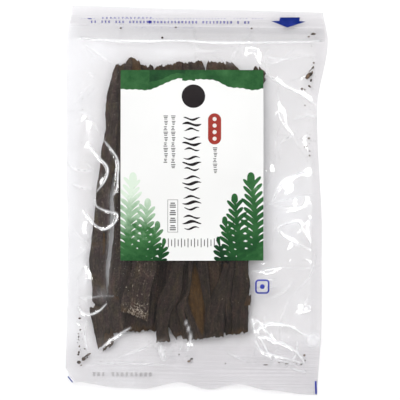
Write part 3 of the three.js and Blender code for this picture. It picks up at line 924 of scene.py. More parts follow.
UPPER_STRIPS = [
    # deep in the bundle: low tones that paint the shade where they show between the strips over them
    strip(0.42, 0.12, [(-28.7, 73.5), (-26.4, -0.2), (-24.7, -38.4), (-27.4, -64.8), (-32.7, -80.9)],
          [(-12.7, 73.8), (-11.7, 0), (-13, -38.2), (-20.7, -61.7), (-22.2, -80.8)]),
    strip(0.5, 0.3, [(-46.6, -52.8), (-47, -68.2), (-48.7, -81.1)],
          [(-34.3, -52.6), (-31.6, -68), (-32.1, -81.2)]),
    strip(0.45, 0.25, [(16.6, 0.4), (18.4, -37.8), (19, -80.8)],
          [(25.2, 0.5), (25.7, -37.7), (26.4, -81.3)]),
    strip(0.52, 0.3, [(-18.1, -24.7), (-16.5, -52.4), (-15.7, -67.8), (-15.2, -77.6)],
          [(-4, -24.5), (-4.8, -55.3), (-5.8, -67.6), (-5.6, -79.9)]),
    # the thin brown stretch
    strip(0.58, 0.5, [(-3.1, 0.1), (-3.8, -38.1), (-4.1, -55.3), (-2.1, -72.5), (1.8, -84.7)],
          [(5.5, 0.2), (6.1, -37.9), (8.8, -55.1), (9.6, -70.5), (8.6, -84)], brown=1.0),
    # left of the label
    strip(0.62, 0.74, [(-48.2, 81.9), (-48.7, 54.8), (-49.5, 17.9), (-49.8, 0.7), (-49.1, -9.8),
           (-49.5, -22.1), (-50.6, -31.3), (-51.4, -38.7), (-52.2, -48.6), (-52.7, -55.4),
           (-52.6, -65.2), (-51.2, -80.6)],
          [(-44.2, 82.2), (-42.6, 54.9), (-41.4, 11.8), (-40.2, -25), (-41.3, -38.6), (-42.9, -52.8),
           (-44.6, -65.1), (-45, -81.1)]),
    strip(0.74, 1.0, [(-49.8, 82.8), (-52.4, 74.4), (-55, 62.1), (-55.5, 53.5), (-55.6, 42.4),
           (-57.9, 28.2), (-58.7, 17.8), (-60.7, 5.4), (-61.4, -5.7), (-62.8, -19.2), (-63.2, -30.3)],
          [(-47.9, 83.8), (-47.4, 73.3), (-47.5, 54.8), (-48.4, 30.2), (-50.6, 11.7), (-52.3, 0.6),
           (-51.8, -9.8), (-52, -22.1), (-52.7, -32.6)]),
    strip(0.8, 0.78, [(-63, -26.6), (-64.4, -36.5), (-64.2, -42.6), (-62.7, -50), (-61.9, -56.1),
           (-62, -63.5)],
          [(-52.2, -26.4), (-53, -34.5), (-53.6, -40), (-53.8, -49.8), (-53.4, -55.4), (-50.7, -65.8)]),
    strip(0.66, 0.25, [(-44.3, -0.5), (-44.4, -38.6), (-44.8, -49.7), (-45.9, -62), (-45.7, -78)],
          [(-37.5, -0.4), (-37.6, -38.5), (-39.3, -49.6), (-42.8, -62), (-41.3, -78.6)]),
    strip(0.9, 0.7, [(-63.9, -66.2), (-63.4, -70), (-62.2, -75.8), (-60.4, -82.5), (-59, -88.7),
           (-58.1, -92.7)],
          [(-50.2, -63.5), (-49.2, -68.2), (-49.4, -74.4), (-50.5, -80.6), (-52.9, -86.1), (-55.3, -90.5)]),
    strip(0.84, 0.5, [(-52.7, -59.7), (-51.9, -69.5), (-50.5, -82.4)],
          [(-45.9, -59.6), (-43.9, -69.4), (-42.5, -81.1)]),
    strip(0.86, 0.9, [(-54.8, -83.1), (-55.6, -88), (-55.5, -93.2)],
          [(-49.3, -81.1), (-48.4, -84.8), (-49.4, -89.8)], brown=0.5),
    # painted glint: a narrow sliver, brown and salted, that stands in for a golden glint on the left strip
    strip(0.9, 0.9, [(-56.2, -20.3), (-56.0, -27.1), (-56.1, -33.9)],
          [(-55.0, -20.3), (-54.6, -27.1), (-54.9, -33.9)], brown=0.9, salt=0.6),
    # below the label, from left to right
    strip(0.9, 0.8, [(-36.5, 61.1), (-35.7, -0.4), (-37.6, -38.5), (-39.3, -46.6), (-41.7, -54.6),
           (-44, -62), (-45.8, -67.6)],
          [(-22.4, 61.3), (-21.5, -0.2), (-22.8, -38.3), (-23.4, -44.5), (-25.7, -52.5), (-26.8, -59.9),
           (-27.6, -74.1)], salt=1.0),
    strip(0.78, 0.2, [(-13.2, 61.5), (-11.9, -27.7), (-13.3, -38.2), (-14.7, -45), (-17.1, -51.8),
           (-20.4, -58.6), (-22.2, -64.8), (-22.5, -74), (-22.7, -81.4), (-22.6, -87.5)],
          [(-5.8, 61.6), (-5.1, -27.6), (-6.2, -38.1), (-6.7, -46.1), (-7.2, -54.1), (-8.4, -59.7),
           (-11.1, -64.6), (-13.8, -69), (-14.8, -75.1), (-14.9, -80.7), (-13.9, -86.8)]),
    strip(0.68, 0.1, [(-8.2, 61.5), (-7, -27.7), (-6.5, -43), (-7.2, -55.3), (-9.6, -60.9),
           (-12.6, -66.5), (-14.4, -71.4), (-14.6, -77), (-13, -81.3), (-10.5, -84.6)],
          [(-3.3, 61.6), (-2.7, -27.6), (-3.2, -38.1), (-3.6, -52.2), (-4.7, -60.2), (-6.5, -65.2),
           (-7.6, -70.1), (-7.5, -76.9), (-7.1, -82.4)]),
    strip(0.84, 0.3, [(-3.3, -30.7), (-3.4, -46.1), (-4.1, -55.3), (-6.5, -60.3), (-9.9, -64.6),
           (-9.5, -69.5), (-8.2, -75), (-7.8, -83)],
          [(-0.2, -30.6), (-1.2, -46), (-2.6, -55.3), (-4.1, -61.4), (-5.2, -66.4), (-4.9, -70.7),
           (-3.3, -75), (-2.1, -79.9), (-2.5, -84.8)]),
    strip(0.76, 0.16, [(-3.3, -30.7), (-3.2, -38.1), (-3.6, -49.1), (-4.7, -58.4), (-5.6, -63.3),
           (-5.3, -68.2), (-3.3, -73.1), (-1.6, -79.9), (-0.6, -86)],
          [(-0.2, -30.6), (-1.3, -38), (-2.4, -49.1), (-3.5, -59.6), (-2.8, -64.5), (-0.9, -70),
           (1.7, -76.7), (4, -84.7)]),
    strip(0.8, 0.14, [(1.8, 0.1), (2.4, -38), (3.1, -46), (4.4, -52.1), (6.4, -61.3), (7.8, -71.1),
           (7.9, -83.7)],
          [(7.7, 0.2), (8.3, -37.9), (9.3, -49), (10.1, -58.8), (9.8, -67.4), (10.4, -83.4)]),
    strip(0.7, 0.26, [(5.9, 61.7), (7.4, 0.2), (7.9, -37.9), (9.1, -49), (10, -56.9), (10.2, -68.6)],
          [(14.5, 61.8), (15.4, 0.3), (16.5, -37.8), (17.3, -45.8), (17.4, -55), (16.3, -68.5)], brown=0.2),
    strip(0.86, 0.08, [(18.4, -37.8), (15.4, -47.6), (12.2, -55.1), (10.1, -61.2), (8.3, -68.7),
           (8.1, -76.7), (7.3, -84)],
          [(23.3, -37.7), (21.6, -47.6), (20.5, -55), (19.6, -62.3), (19.1, -70.3), (18.8, -84.1)]),
    strip(0.78, 0.05, [(20.6, -24.2), (20.9, -39.6), (20.4, -48.8), (19.5, -58), (19.2, -68.5), (20, -82)],
          [(25.6, -24.1), (25.2, -39.5), (23.8, -48.8), (23.3, -58), (23.7, -68.4), (24.3, -82)]),
    strip(0.92, 0.14, [(25.6, 62), (26.4, 0.5), (25.5, -37.7), (24.3, -48.7), (23.3, -58.6),
           (23.7, -68.4), (23.7, -81.7)],
          [(33, 62.1), (33, 0.6), (32.5, -37.6), (33.2, -43.7), (34.5, -49.8), (34, -55.4),
           (33.8, -64.6), (33.9, -72), (33.6, -80.4)]),
    strip(0.84, 0.5, [(30.3, -56), (30.4, -64.7)], [(35, -58.8), (35, -62.7)]),
    # the top ends over the label's head
    strip(0.72, 0.6, [(-47.6, 81.6), (-47.8, 73.3)], [(-43, 82.6), (-42.9, 73.3)]),
    strip(0.8, 0.7, [(-41.5, 87.9), (-43, 85), (-44.2, 82.2), (-45.4, 78.2), (-45.9, 73.3)],
          [(-40, 87.4), (-39.6, 84.5), (-39.2, 79.5), (-39.2, 73.4)]),
    strip(0.88, 1.0, [(-40, 86.6), (-39.9, 83.2), (-39.8, 73.4)],
          [(-35.6, 85.4), (-34.7, 83.3), (-34.3, 78.4), (-34.2, 73.5)], brown=0.8),
    strip(0.62, 0.6, [(-36.2, 83.4), (-36.1, 73.4)], [(-26.4, 80.9), (-25.6, 73.6)]),
    strip(0.74, 0.6, [(-26, 80.6), (-25.9, 73.6)], [(-21.2, 83.3), (-20.7, 73.6)]),
    strip(0.68, 0.62, [(-21.8, 81.9), (-21.6, 73.6)], [(-15.9, 83.1), (-15.8, 73.7)], brown=0.1),
    strip(0.78, 0.74, [(-16.8, 82.9), (-16.4, 73.7)], [(-9.2, 84.5), (-9, 73.8)], brown=0.3),
    strip(0.68, 0.5, [(-10.1, 84.3), (-9.6, 73.8)], [(2.5, 85.8), (3.7, 83.8), (5, 80.8), (5.7, 74)]),
    strip(0.76, 0.8, [(6.8, 85.4), (5.9, 82), (5.7, 74)], [(16.7, 84.6), (17.4, 74.2)], brown=0.35),
    strip(0.7, 0.74, [(15.4, 84.6), (15.6, 74.2)],
          [(22.2, 83.7), (24.7, 82), (26.6, 79.8), (27.9, 74.3)], brown=0.25),
    strip(0.66, 0.66, [(35.8, 82.6), (34.6, 80.3), (34.1, 72)], [(36.7, 82.3), (38.2, 80), (39.6, 72)]),
    strip(0.66, 0.6, [(38.2, 80.9), (37.8, 71.4)],
          [(41, 80.8), (42.5, 78.5), (41.4, 76.4), (42.5, 74.2), (40.8, 71.4)]),
]
# The thin brown stretch: the middle of the gap that it shows in, and half the gap's width
SPINDLE = [(0.2, -38), (0.6, -49), (1.8, -60), (3.6, -70.5), (6.2, -85)]
SPINDLE_WIDE = 5.6
SALT_FOOT = {"x": -35.0, "y": -69.0, "across": 7.0, "along": 6.0}
# How far apart the grid's points lie along and across a lower and an upper strip
LOWER_GRID = (2.2, 0.9)
UPPER_GRID = (1.4, 0.5)


def strip_grid(piece, row_step, column_step):
    """The strip's sides at even shares of its length: each row's middle and half width, and the rows."""
    sides = [smooth_run(piece[side], 12) for side in ("left", "right")]
    walks = [np.concatenate([[0], np.cumsum(np.hypot(*np.diff(run, axis=0).T))]) for run in sides]
    length = (walks[0][-1] + walks[1][-1]) / 2
    width = max(math.dist(a, b) for a, b in zip(piece["left"], piece["right"]))
    share = np.linspace(0, 1, max(8, round(length / row_step)) + 1)
    edges = [np.stack([np.interp(share * walk[-1], walk, run[:, k]) for k in (0, 1)], -1)
             for run, walk in zip(sides, walks)]
    columns = np.linspace(-1, 1, max(6, round(width / column_step)) + 1)
    return (edges[0] + edges[1]) / 2, (edges[1] - edges[0]) / 2, columns, share * length


def strip_shape(piece, number, row_step, column_step):
    """One strip's points: a thin wavy ribbon with torn ends, between the films."""
    shift = random.Random(SEED + number).uniform(0, 100)
    middle, half, columns, rows = strip_grid(piece, row_step, column_step)
    S, V = np.meshgrid(columns, rows)
    breadth = np.hypot(*half.T)[:, None]
    ahead = np.gradient(middle, axis=0)
    ahead /= np.linalg.norm(ahead, axis=1)[:, None]
    offset = S * breadth
    ragged = 1 + np.abs(S) ** 3 * rippled(np.sign(S) * 40 + shift, V, *RAGGED_SIDE) / breadth
    teeth = ripples(offset + shift, V * 0, TORN_TEETH["size"], TORN_TEETH["seed"]) - TORN_TEETH["from"]
    torn = rippled(offset + shift, V * 0, *TORN_END) + TORN_TEETH["height"] * np.maximum(0, teeth)
    at_ends = ramp(V, rows[-1] - END_TEAR, rows[-1]) - ramp(-V, -END_TEAR, 0)
    x = middle[:, :1] + half[:, :1] * S * ragged + ahead[:, :1] * torn * at_ends
    y = middle[:, 1:] + half[:, 1:] * S * ragged + ahead[:, 1:] * torn * at_ends
    pleats = 0
    for change, high, size, seed in PLEATS:
        pleats = pleats + high * ripples(offset + shift, V * change, size, seed)
    sway = sum(high * ripples(V + shift, offset * change, size, seed) for change, high, size, seed in SWAY)
    curl = -EDGE_CURL * np.abs(S) ** 5
    low = back_height(x, y) + FILM_CLEARANCE
    high = calm_front_height(x, y) - FILM_CLEARANCE - FILM_GAP
    room = np.maximum(high - low, STRIP_THICK)
    z = low + room * piece["level"] + pleats + sway + curl
    top = np.clip(z, low + STRIP_THICK, np.maximum(high, low + STRIP_THICK))
    bottom = np.maximum(top - STRIP_THICK * (1 - 0.75 * np.abs(S) ** 6), low)
    return x, y, top, bottom, offset, V


def in_spindle(x, y):
    """1 on the thin brown stretch that shows between two strips, soft at its edges."""
    gap, along = nearest_on(smooth_run(SPINDLE), x, y)
    return ramp(SPINDLE_WIDE * np.sin(np.pi * np.clip(along, 0.03, 0.97)) - gap, -0.6, 1.4)


def strip_looks(piece, x, y, along):
    """The strip's tone, brown and salt at each point. Its ends are worn brown; salt gathers at its foot."""
    brown = piece["brown"] * (in_spindle(x, y) if piece["brown"] == 1 else np.ones(x.shape))
    end = along.max()
    worn = (ramp(along, end - END_TEAR, end) + ramp(-along, -END_TEAR, 0)) * (0.5 + rippled(x, y, WEAR))
    brown = np.clip(np.maximum(brown, WORN_BROWN * worn), 0, 1)
    aside, away = (x - SALT_FOOT["x"]) / SALT_FOOT["across"], (y - SALT_FOOT["y"]) / SALT_FOOT["along"]
    salt = piece["salt"] * (0.2 + 0.8 * np.exp(-(aside**2) - away**2))
    return {"tone": np.full(x.size, piece["tone"]), "brown": brown.ravel(), "salt": salt.ravel()}


def make_strips(name, strips, finish, row_step, column_step, first):
    """The strips as one piece, with each one's tone, brown and salt, and a UV map in millimetres."""
    vertices, faces, uv = [], [], []
    looks = {"tone": [], "brown": [], "salt": []}
    for number, piece in enumerate(strips, first):
        x, y, top, bottom, across, along = strip_shape(piece, number, row_step, column_step)
        start = sum(len(v) for v in vertices)
        vertices += [stacked(x, y, top), stacked(x, y, bottom)]
        ids = np.arange(x.size).reshape(x.shape) + start
        quads = np.stack([ids[:-1, :-1], ids[1:, :-1], ids[1:, 1:], ids[:-1, 1:]], -1).reshape(-1, 4)
        faces += quads.tolist() + (quads[:, ::-1] + x.size).tolist()
        faces += [face[::-1] for face in rim_quads(ids, x.size)]
        place = np.stack([across + PATTERN_SHIFT[0] * number, along + PATTERN_SHIFT[1] * number], -1)
        uv += [place.reshape(-1, 2)] * 2
        for key, values in strip_looks(piece, x, y, along).items():
            looks[key] += [values, values]
    made = make_object(name, np.vstack(vertices), faces, smooth_to=60)
    for key, values in looks.items():
        add_attribute(made, key, np.concatenate(values))
    corners = np.empty(len(made.data.loops), np.int32)
    made.data.loops.foreach_get("vertex_index", corners)
    layer = made.data.uv_layers.new(name="along_strip")
    layer.data.foreach_set("uv", np.vstack(uv)[corners].astype(np.float32).ravel())
    give(made, finish, "wakame", "pouch")


# ---------------------------------------------------------------------------
# Crumbs of wakame that have settled along the seals

# Each crumb: its place, length, width and turn in degrees
CRUMBS = [
    (-69.7, -73.4, 1.9, 1.1, 0), (-69.3, -80.5, 1.4, 0.9, 20), (-70.3, -83, 0.9, 0.8, 0),
    (-70.2, -84.8, 1.6, 1, 85), (-70.3, -86.4, 0.8, 0.6, 0), (-70.7, -88.5, 0.6, 0.6, 0),
    (-69.7, -90.7, 1.5, 0.9, 70), (-70, -94.4, 2.1, 1.2, 80), (-70.4, -95.8, 1.4, 1, 0),
    (-66.4, -92.2, 1.5, 0.8, -25), (-64.5, -95.9, 5.2, 1.2, 32), (-66.9, -98.3, 3.2, 2.3, 25),
    (-64.8, -97.5, 1.4, 1, 40), (-69.9, -100.5, 2.5, 2.2, 0), (-68.4, -102.3, 1.4, 0.6, 0),
    (-0.8, -97.6, 2.5, 1.4, 30), (-2.3, -98.9, 2.1, 1.4, 10), (-8.5, -94.7, 1, 0.8, 0),
    (20.2, -99.9, 1, 1, 0), (44.8, -100.4, 3, 0.8, 0), (58, -99.5, 2.6, 1, 0),
    (53.1, -99.1, 1, 0.8, 0), (63.5, -99.6, 1, 0.8, 0), (66.6, -99.8, 1.4, 1.4, 0),
    (68.4, -94.3, 1.6, 1.3, 0), (69, -97.3, 1, 0.8, 0), (68.1, 76.9, 3.4, 2.6, 65),
    (69.4, 78.2, 3.5, 2.6, 30), (70.2, 81.3, 4.4, 0.5, 48), (71.4, 82.6, 1.9, 1.2, 70),
    (71.7, 85.4, 1.2, 1.1, 0), (70.9, 79.5, 1.9, 1, 90), (70.3, 74.6, 1.9, 1.1, 80),
    (69.4, 70.9, 2.2, 1.1, -30), (64.8, 69.4, 1.6, 1.3, 0), (66.5, 69, 1, 1, 0),
    (66.7, 59.2, 1, 0.8, 0), (67.6, 52.1, 0.8, 0.6, 0), (69.5, 39, 1.4, 1.1, 0),
    (67.8, 33.9, 2.2, 1.3, 10), (70, 31.2, 1, 0.8, 0), (70, 28.5, 1.1, 1, 0),
    (71.1, 103, 3.1, 1.4, 8), (68.4, 101.3, 1.4, 1.1, 0), (-21.4, 99.5, 1.5, 1.4, 0),
    (-47, 105, 1.4, 1, 0), (-13.2, 106, 1.2, 0.9, 0), (33.4, 106, 1.4, 1, 0),
]
# Dust: how many specks along each run of seal, with the run's two ends and how far they stray from it
DUST = [
    (26, (-69.8, -60), (-68.9, -100), 1.6), (8, (-70, 62), (-70.2, 20), 1.4),
    (30, (-66, -99.8), (70, -98.6), 0.7), (26, (69.5, 62), (68.6, 24), 2.0),
    (12, (69.6, 100.5), (70.6, 66), 2.6), (10, (60, -97.5), (70, -96), 2.4),
]
DUST_LONG = (0.2, 0.5)
DUST_WIDE = (0.15, 0.35)
CRUMB_THICK = (0.12, 0.7)
CRUMB_ROOM = 0.3  # how much less than the gap between the films a crumb is thick
FLAKE_SIZE = 1.0
FLAKE_ROUGHNESS = 0.9
FLAKE_GRAIN = 1100.0
FLAKE_FLATNESS = (1, 1, 0.2)


def crumb_points():
    """A mesh of bare points, one for each crumb, with its extent and turn."""
    dice = random.Random(SEED)
    crumbs = list(CRUMBS)
    for count, start, end, stray in DUST:
        for _ in range(count):
            t = dice.random()
            x = start[0] + (end[0] - start[0]) * t + dice.gauss(0, stray / 2)
            y = start[1] + (end[1] - start[1]) * t + dice.gauss(0, stray / 2)
            crumbs.append((x, y, dice.uniform(*DUST_LONG), dice.uniform(*DUST_WIDE), dice.uniform(0, 180)))
    x, y, long, wide, turn = np.array(crumbs).T
    back, front = back_height(x, y), calm_front_height(x, y)
    thick = np.clip(np.minimum(front - back - CRUMB_ROOM, wide), *CRUMB_THICK)
    z = np.where(y > ZIP["low"], front_height(x, y) + 0.1, (back + front) / 2)
    mesh = bpy.data.meshes.new("crumb_places")
    mesh.from_pydata((stacked(x, y, z) * MM).tolist(), [], [])
    looks = {"extent": stacked(long, wide, thick), "turn": stacked(0 * x, 0 * x, np.radians(turn))}
    for name, values in looks.items():
        layer = mesh.attributes.new(name, "FLOAT_VECTOR", "POINT")
        layer.data.foreach_set("vector", values.astype(np.float32).ravel())
    return add_to_scene("crumb_places", mesh)


def crumb_tree():
    """Nodes that put a rough flake at each point. Inputs: the points, the flakes' Roughness and Grain, and a
    Material."""
    tree = bpy.data.node_groups.new("flakes_at_points", "GeometryNodeTree")
    inputs = {"Points": "Geometry", "Roughness": "Float", "Grain": "Float", "Material": "Material"}
    for name, kind in inputs.items():
        tree.interface.new_socket(name, in_out="INPUT", socket_type="NodeSocket" + kind)
    tree.interface.new_socket("Flakes", in_out="OUTPUT", socket_type="NodeSocketGeometry")
    shape, plain, maths = Nodes(tree, "GeometryNode"), Nodes(tree, "Node"), Nodes(tree)

    def named(name):
        made = shape.node("InputNamedAttribute", {"Name": name}, data_type="FLOAT_VECTOR")
        return made.outputs["Attribute"]

    def vector(operation, first, second):
        return maths.node("VectorMath", {0: first, 1: second}, operation=operation).outputs[0]

    given = plain.node("GroupInput").outputs
    flake = shape.node("MeshIcoSphere", {"Radius": FLAKE_SIZE / 2 * MM, "Subdivisions": 2}).outputs["Mesh"]
    turn = Nodes(tree, "FunctionNode").node("EulerToRotation", {0: named("turn")}).outputs[0]
    where = {"Points": given["Points"], "Instance": flake, "Rotation": turn, "Scale": named("extent")}
    real = shape.node("RealizeInstances", {0: shape.node("InstanceOnPoints", where).outputs[0]}).outputs[0]
    # Each point of a flake moves by a smooth random amount, less upwards than sideways
    wander = maths.node("TexNoise", {"Scale": given["Grain"]}).outputs["Color"]
    flatter = vector("MULTIPLY", vector("SUBTRACT", wander, (0.5, 0.5, 0.5)), FLAKE_FLATNESS)
    amount = maths.node("VectorMath", {0: flatter, "Scale": given["Roughness"]}, operation="SCALE")
    moved = shape.node("SetPosition", {"Geometry": real, "Offset": amount.outputs[0]}).outputs[0]
    coated = shape.node("SetMaterial", {"Geometry": moved, "Material": given["Material"]}).outputs[0]
    plain.node("GroupOutput", {0: coated})
    return tree


def make_crumbs():
    """The crumbs and the dust as one plain mesh."""
    points = crumb_points()
    tree = crumb_tree()
    scatter = points.modifiers.new("flakes", "NODES")
    scatter.node_group = tree
    values = {"Roughness": FLAKE_ROUGHNESS * MM, "Grain": FLAKE_GRAIN, "Material": crumb_finish()}
    for item in tree.interface.items_tree:
        if item.in_out == "INPUT" and item.name in values:
            scatter[item.identifier] = values[item.name]
    bpy.context.view_layer.update()
    graph = bpy.context.evaluated_depsgraph_get()
    mesh = bpy.data.meshes.new_from_object(points.evaluated_get(graph))
    points.modifiers.clear()
    bpy.data.objects.remove(points)
    settle(add_to_scene("crumbs", mesh), "wakame", "pouch")


# ---------------------------------------------------------------------------
# The label

LABEL_STEP = 1.5


def label_place(u, v):
    """From the label's own frame to the pouch's."""
    x, y = turned(u, v, LABEL_TURN)
    return LABEL_X + x, LABEL_Y + y


def paper_foot(x, y):
    """The underside of the label's paper."""
    return calm_front_height(x, y) + PAPER_GAP


def paper_top(x, y):
    """The printed side of the label's paper."""
    return paper_foot(x, y) + PAPER


def make_label():
    """The sheet of paper, which follows the film below it."""
    across = spaced(-LABEL_WIDTH / 2, LABEL_WIDTH / 2, LABEL_STEP)
    along = spaced(-LABEL_LENGTH / 2, LABEL_LENGTH / 2, LABEL_STEP)
    label = closed_sheet("label_paper", across, along, label_place, paper_top, paper_foot)
    give(label, paper_finish(), "paper_label", "label")


# ---------------------------------------------------------------------------
# Print: thin shapes of ink that follow the paper or the film below them

INK = 0.03
INK_STEP = 0.015
INK_CUTS = 4.0


def cut_by_plane(bm, point, normal, **options):
    """Cut all of a mesh by a plane."""
    everything = bm.verts[:] + bm.edges[:] + bm.faces[:]
    bmesh.ops.bisect_plane(bm, geom=everything, plane_co=point, plane_no=normal, **options)


def print_shapes(name, shapes, place, surface, material, bounds=None):
    """Thin closed shapes on a curved surface, flat in their own frame. Bounds, where given, cut them off.

    Each is (outline, level, wash, fade): the wash changes by fade for each millimetre up.
    """
    bm = bmesh.new()
    wash_layer = bm.verts.layers.float.new("wash")
    level_layer = bm.verts.layers.float.new("level")
    for outline, level, wash, *fade in shapes:
        corners = [bm.verts.new((u, v, 0)) for u, v in outline]
        for corner in corners:
            corner[wash_layer] = wash + corner.co.y * (fade[0] if fade else 0)
            corner[level_layer] = level
        face = bm.faces.new(corners)
        face.normal_update()
        if face.normal.z < 0:
            face.normal_flip()
    us = [vert.co.x for vert in bm.verts]
    vs = [vert.co.y for vert in bm.verts]
    if bounds:
        half_u, half_v = bounds
        for side in (1, -1):
            cut_by_plane(bm, (side * half_u, 0, 0), (side, 0, 0), clear_outer=True)
        for side in (1, -1):
            cut_by_plane(bm, (0, side * half_v, 0), (0, side, 0), clear_outer=True)
    for low, high, axis in ((min(us), max(us), (1, 0, 0)), (min(vs), max(vs), (0, 1, 0))):
        for cut in np.arange(low + INK_CUTS / 2, high, INK_CUTS):
            cut_by_plane(bm, [cut * a for a in axis], axis)
    bmesh.ops.solidify(bm, geom=bm.faces[:], thickness=-INK)
    bm.verts.ensure_lookup_table()
    flat = np.array([vert.co[:] for vert in bm.verts])
    levels = np.array([vert[level_layer] for vert in bm.verts])
    x, y = place(flat[:, 0], flat[:, 1])
    z = surface(x, y) + flat[:, 2] + INK_STEP * levels
    for vert, point in zip(bm.verts, np.stack([x, y, z], -1) * MM):
        vert.co = point
    mesh = bpy.data.meshes.new(name)
    bm.to_mesh(mesh)
    bm.free()
    give(add_to_scene(name, mesh), material, "print_ink")


def arc(cx, cy, radius, start, end, steps=24):
    """Points along an arc, from its start to its end in degrees."""
    angles = np.radians(np.linspace(start, end, steps + 1))
    return [(cx + radius * math.cos(a), cy + radius * math.sin(a)) for a in angles]


def arc_band(cx, cy, outer, inner, start, end):
    """The outline of a part of a ring."""
    return arc(cx, cy, outer, start, end) + arc(cx, cy, inner, end, start)


def oblong(cx, cy, width, height):
    """The corners of an upright oblong about its middle."""
    w, h = width / 2, height / 2
    return [(cx - w, cy - h), (cx + w, cy - h), (cx + w, cy + h), (cx - w, cy + h)]


def capsule(cx, cy, width, height):
    """The outline of an upright capsule about its middle."""
    reach = (height - width) / 2
    return arc(cx, cy + reach, width / 2, 0, 180) + arc(cx, cy - reach, width / 2, 180, 360)


def frame_bars(cx, cy, width, height, line):
    """The four bars of a thin outlined box."""
    level = [oblong(cx, cy + side * height / 2, width + line, line) for side in (1, -1)]
    upright = [oblong(cx + side * width / 2, cy, line, height - line) for side in (-1, 1)]
    return level + upright


def rounded_frame(cx, cy, side, line, corner):
    """The four corners and the four straight sides of a square frame with rounded corners."""
    parts = []
    for sx, sy, start in ((1, 1, 0), (-1, 1, 90), (-1, -1, 180), (1, -1, 270)):
        x, y = cx + sx * (side / 2 - corner), cy + sy * (side / 2 - corner)
        parts.append(arc_band(x, y, corner, corner - line, start, start + 90))
    straight, out = side - 2 * corner, (side - line) / 2
    parts += [oblong(cx, cy + way * out, straight, line) for way in (1, -1)]
    parts += [oblong(cx + way * out, cy, line, straight) for way in (1, -1)]
    return parts


# Print on the label

LABEL_TOP = LABEL_LENGTH / 2
LABEL_FOOT = -LABEL_LENGTH / 2
LABEL_SIDE = LABEL_WIDTH / 2
OVERRUN = 2.0  # how far the washes and fronds reach over the label's edges before they are cut off there
# Washes of green along the label's head: each one's ends, depth, swing, phase and paleness
HEAD_WASHES = [
    (-LABEL_SIDE - OVERRUN, 2, 13.4, 0.9, 0.4, -0.08),
    (-6, LABEL_SIDE + OVERRUN, 13.0, 1.0, 2.0, -0.16),
    (-26, -4, 9.6, 0.7, 1.1, -0.36),
]
ARCH = 5.6  # how far the head's washes rise over the round mark, and the half width of that arch
ARCH_REACH = 17
# Fronds at the label's foot, pale at the left and deep at the right: base, height, width, lean and bend
PALE_FRONDS = [(-39, 52, 20, 3, -1), (-33, 36, 17, 6, 1), (-27, 22, 14, 6, 0), (-20, 12, 10, 3, 0)]
DEEP_FRONDS = [(39, 52, 20, -3, 1), (32, 39, 17, -6, -1), (26, 25, 14, -6, 0), (19, 13, 10, -3, 0)]
FROND_PITCH = 4.5
MOUND = (22, 12)  # a corner wash's width and height
# The title: the marks' places down the label, and each brush stroke's rise, length and thickness
TITLE_X = -0.1
TITLE_PLACES = range(25, -36, -12)
TITLE_STROKES = ((3.4, 10.5, 1.3), (0, 12, 1.7), (-3.4, 9.5, 1.2))
TITLE_SWING = 0.75
ROUND_MARK = (TITLE_X + 1, 42.1, 7.2)
# Columns of dashes in threes: each column's place across, its top and how many threes it has
DASH_COLUMNS = [(-16, 30, 9), (-11.4, 30, 10), (14.1, 10.5, 5)]
DASH = {"pitch": 3.3, "rises": (0, 0.95, 1.9), "stray": 0.2, "long": 2.7, "shorter": 0.5, "height": 0.5}
# A thin box (its middle, width, height and line) and the dashes in threes down its middle
NOTE_BOX = (-11.7, -31, 6.1, 19.7, 0.25)
NOTE = {"count": 4, "top": -24.2, "pitch": 4.6, "rises": (-1.4, -0.2, 1.0), "long": 3.7, "height": 0.62}
NOTE_SHORTER = 0.9
# A level row of ticks, every second one shorter
TICKS = {"count": 15, "start": -14.4, "pitch": 2, "middle": -47.4}
TICK = {"width": 0.5, "height": 5.4, "shorter": 1.4}
CAPSULE = (13.8, 22.1, 8, 19)
DOTS = (6, 2, -2, -6)
DOT_RADIUS = 1.25


def on_label(name, shapes, material):
    """Print shapes on the label's paper, cut off at its edges."""
    print_shapes(name, shapes, label_place, paper_top, material, (LABEL_SIDE, LABEL_TOP))


def finger(place, angle, length, width):
    """The rounded outline of one finger of a frond, from its lower edge round its tip to its upper edge."""
    across, out = np.array((-math.sin(angle), math.cos(angle))), np.array((math.cos(angle), math.sin(angle)))
    turns = np.radians(np.linspace(-90, 90, 11))
    return [place + out * length * math.cos(a) ** 0.6 + across * width / 2 * math.sin(a) for a in turns]


def frond(base, foot, height, width, lean, bend):
    """A frond with a leaning stem and pairs of rounded fingers, shorter and steeper to its tip."""
    count = max(3, round(height / FROND_PITCH))
    step = height / (count + 1)
    sides = {1: [], -1: []}
    for k in range(count):
        t = (k + 0.6) / (count + 1)
        stem = base + lean * t + bend * math.sin(math.pi * t)
        angle = math.radians(20 + 30 * t)
        uneven = 1 + 0.16 * math.sin(2.4 * k + base)
        stalk = max(1.2, width * 0.14 * (1 - 0.6 * t))
        length = width / 2 * (1 - 0.45 * t**1.5) * uneven - stalk * 0.6
        thick = 0.82 * step * math.cos(angle)
        for side in sides:
            rise = 0.2 * step * side * math.sin(base)
            rows = finger(np.array((stalk, foot + height * t + rise)), angle, length, thick)
            sides[side] += [(stem + side * u, v) for u, v in rows]
    tip = finger(np.array((0, foot + height * 0.94)), math.pi / 2, width * 0.26, width * 0.24)
    return sides[1] + [(base + lean + u, v) for u, v in tip] + sides[-1][::-1]


def mound(side, foot, width, height):
    """A low bank of wash in a corner, highest at the label's side and uneven along its top."""
    t = np.linspace(0, 1, 30)
    top = foot + height * np.cos(np.pi / 2 * t) ** 0.8 * (1 + 0.12 * np.sin(19 * t))
    inner = side * (1 - width / abs(side))
    return list(zip(side * (1 - width / abs(side) * t), top)) + [(inner, foot), (side, foot)]


def brush_wave(cx, cy, length, swing, thick, phase):
    """One wavy brush stroke that tapers at both ends."""
    t = np.linspace(0, 1, 25)
    u = cx + length * (t - 0.5)
    v = cy + swing * np.sin(2 * np.pi * t + phase)
    half = thick / 2 * np.sin(np.pi * t) ** 0.6 * (1 + 0.2 * np.sin(9 * t + phase))
    return list(zip(u, v + half)) + list(zip(u, v - half))[-2:0:-1]


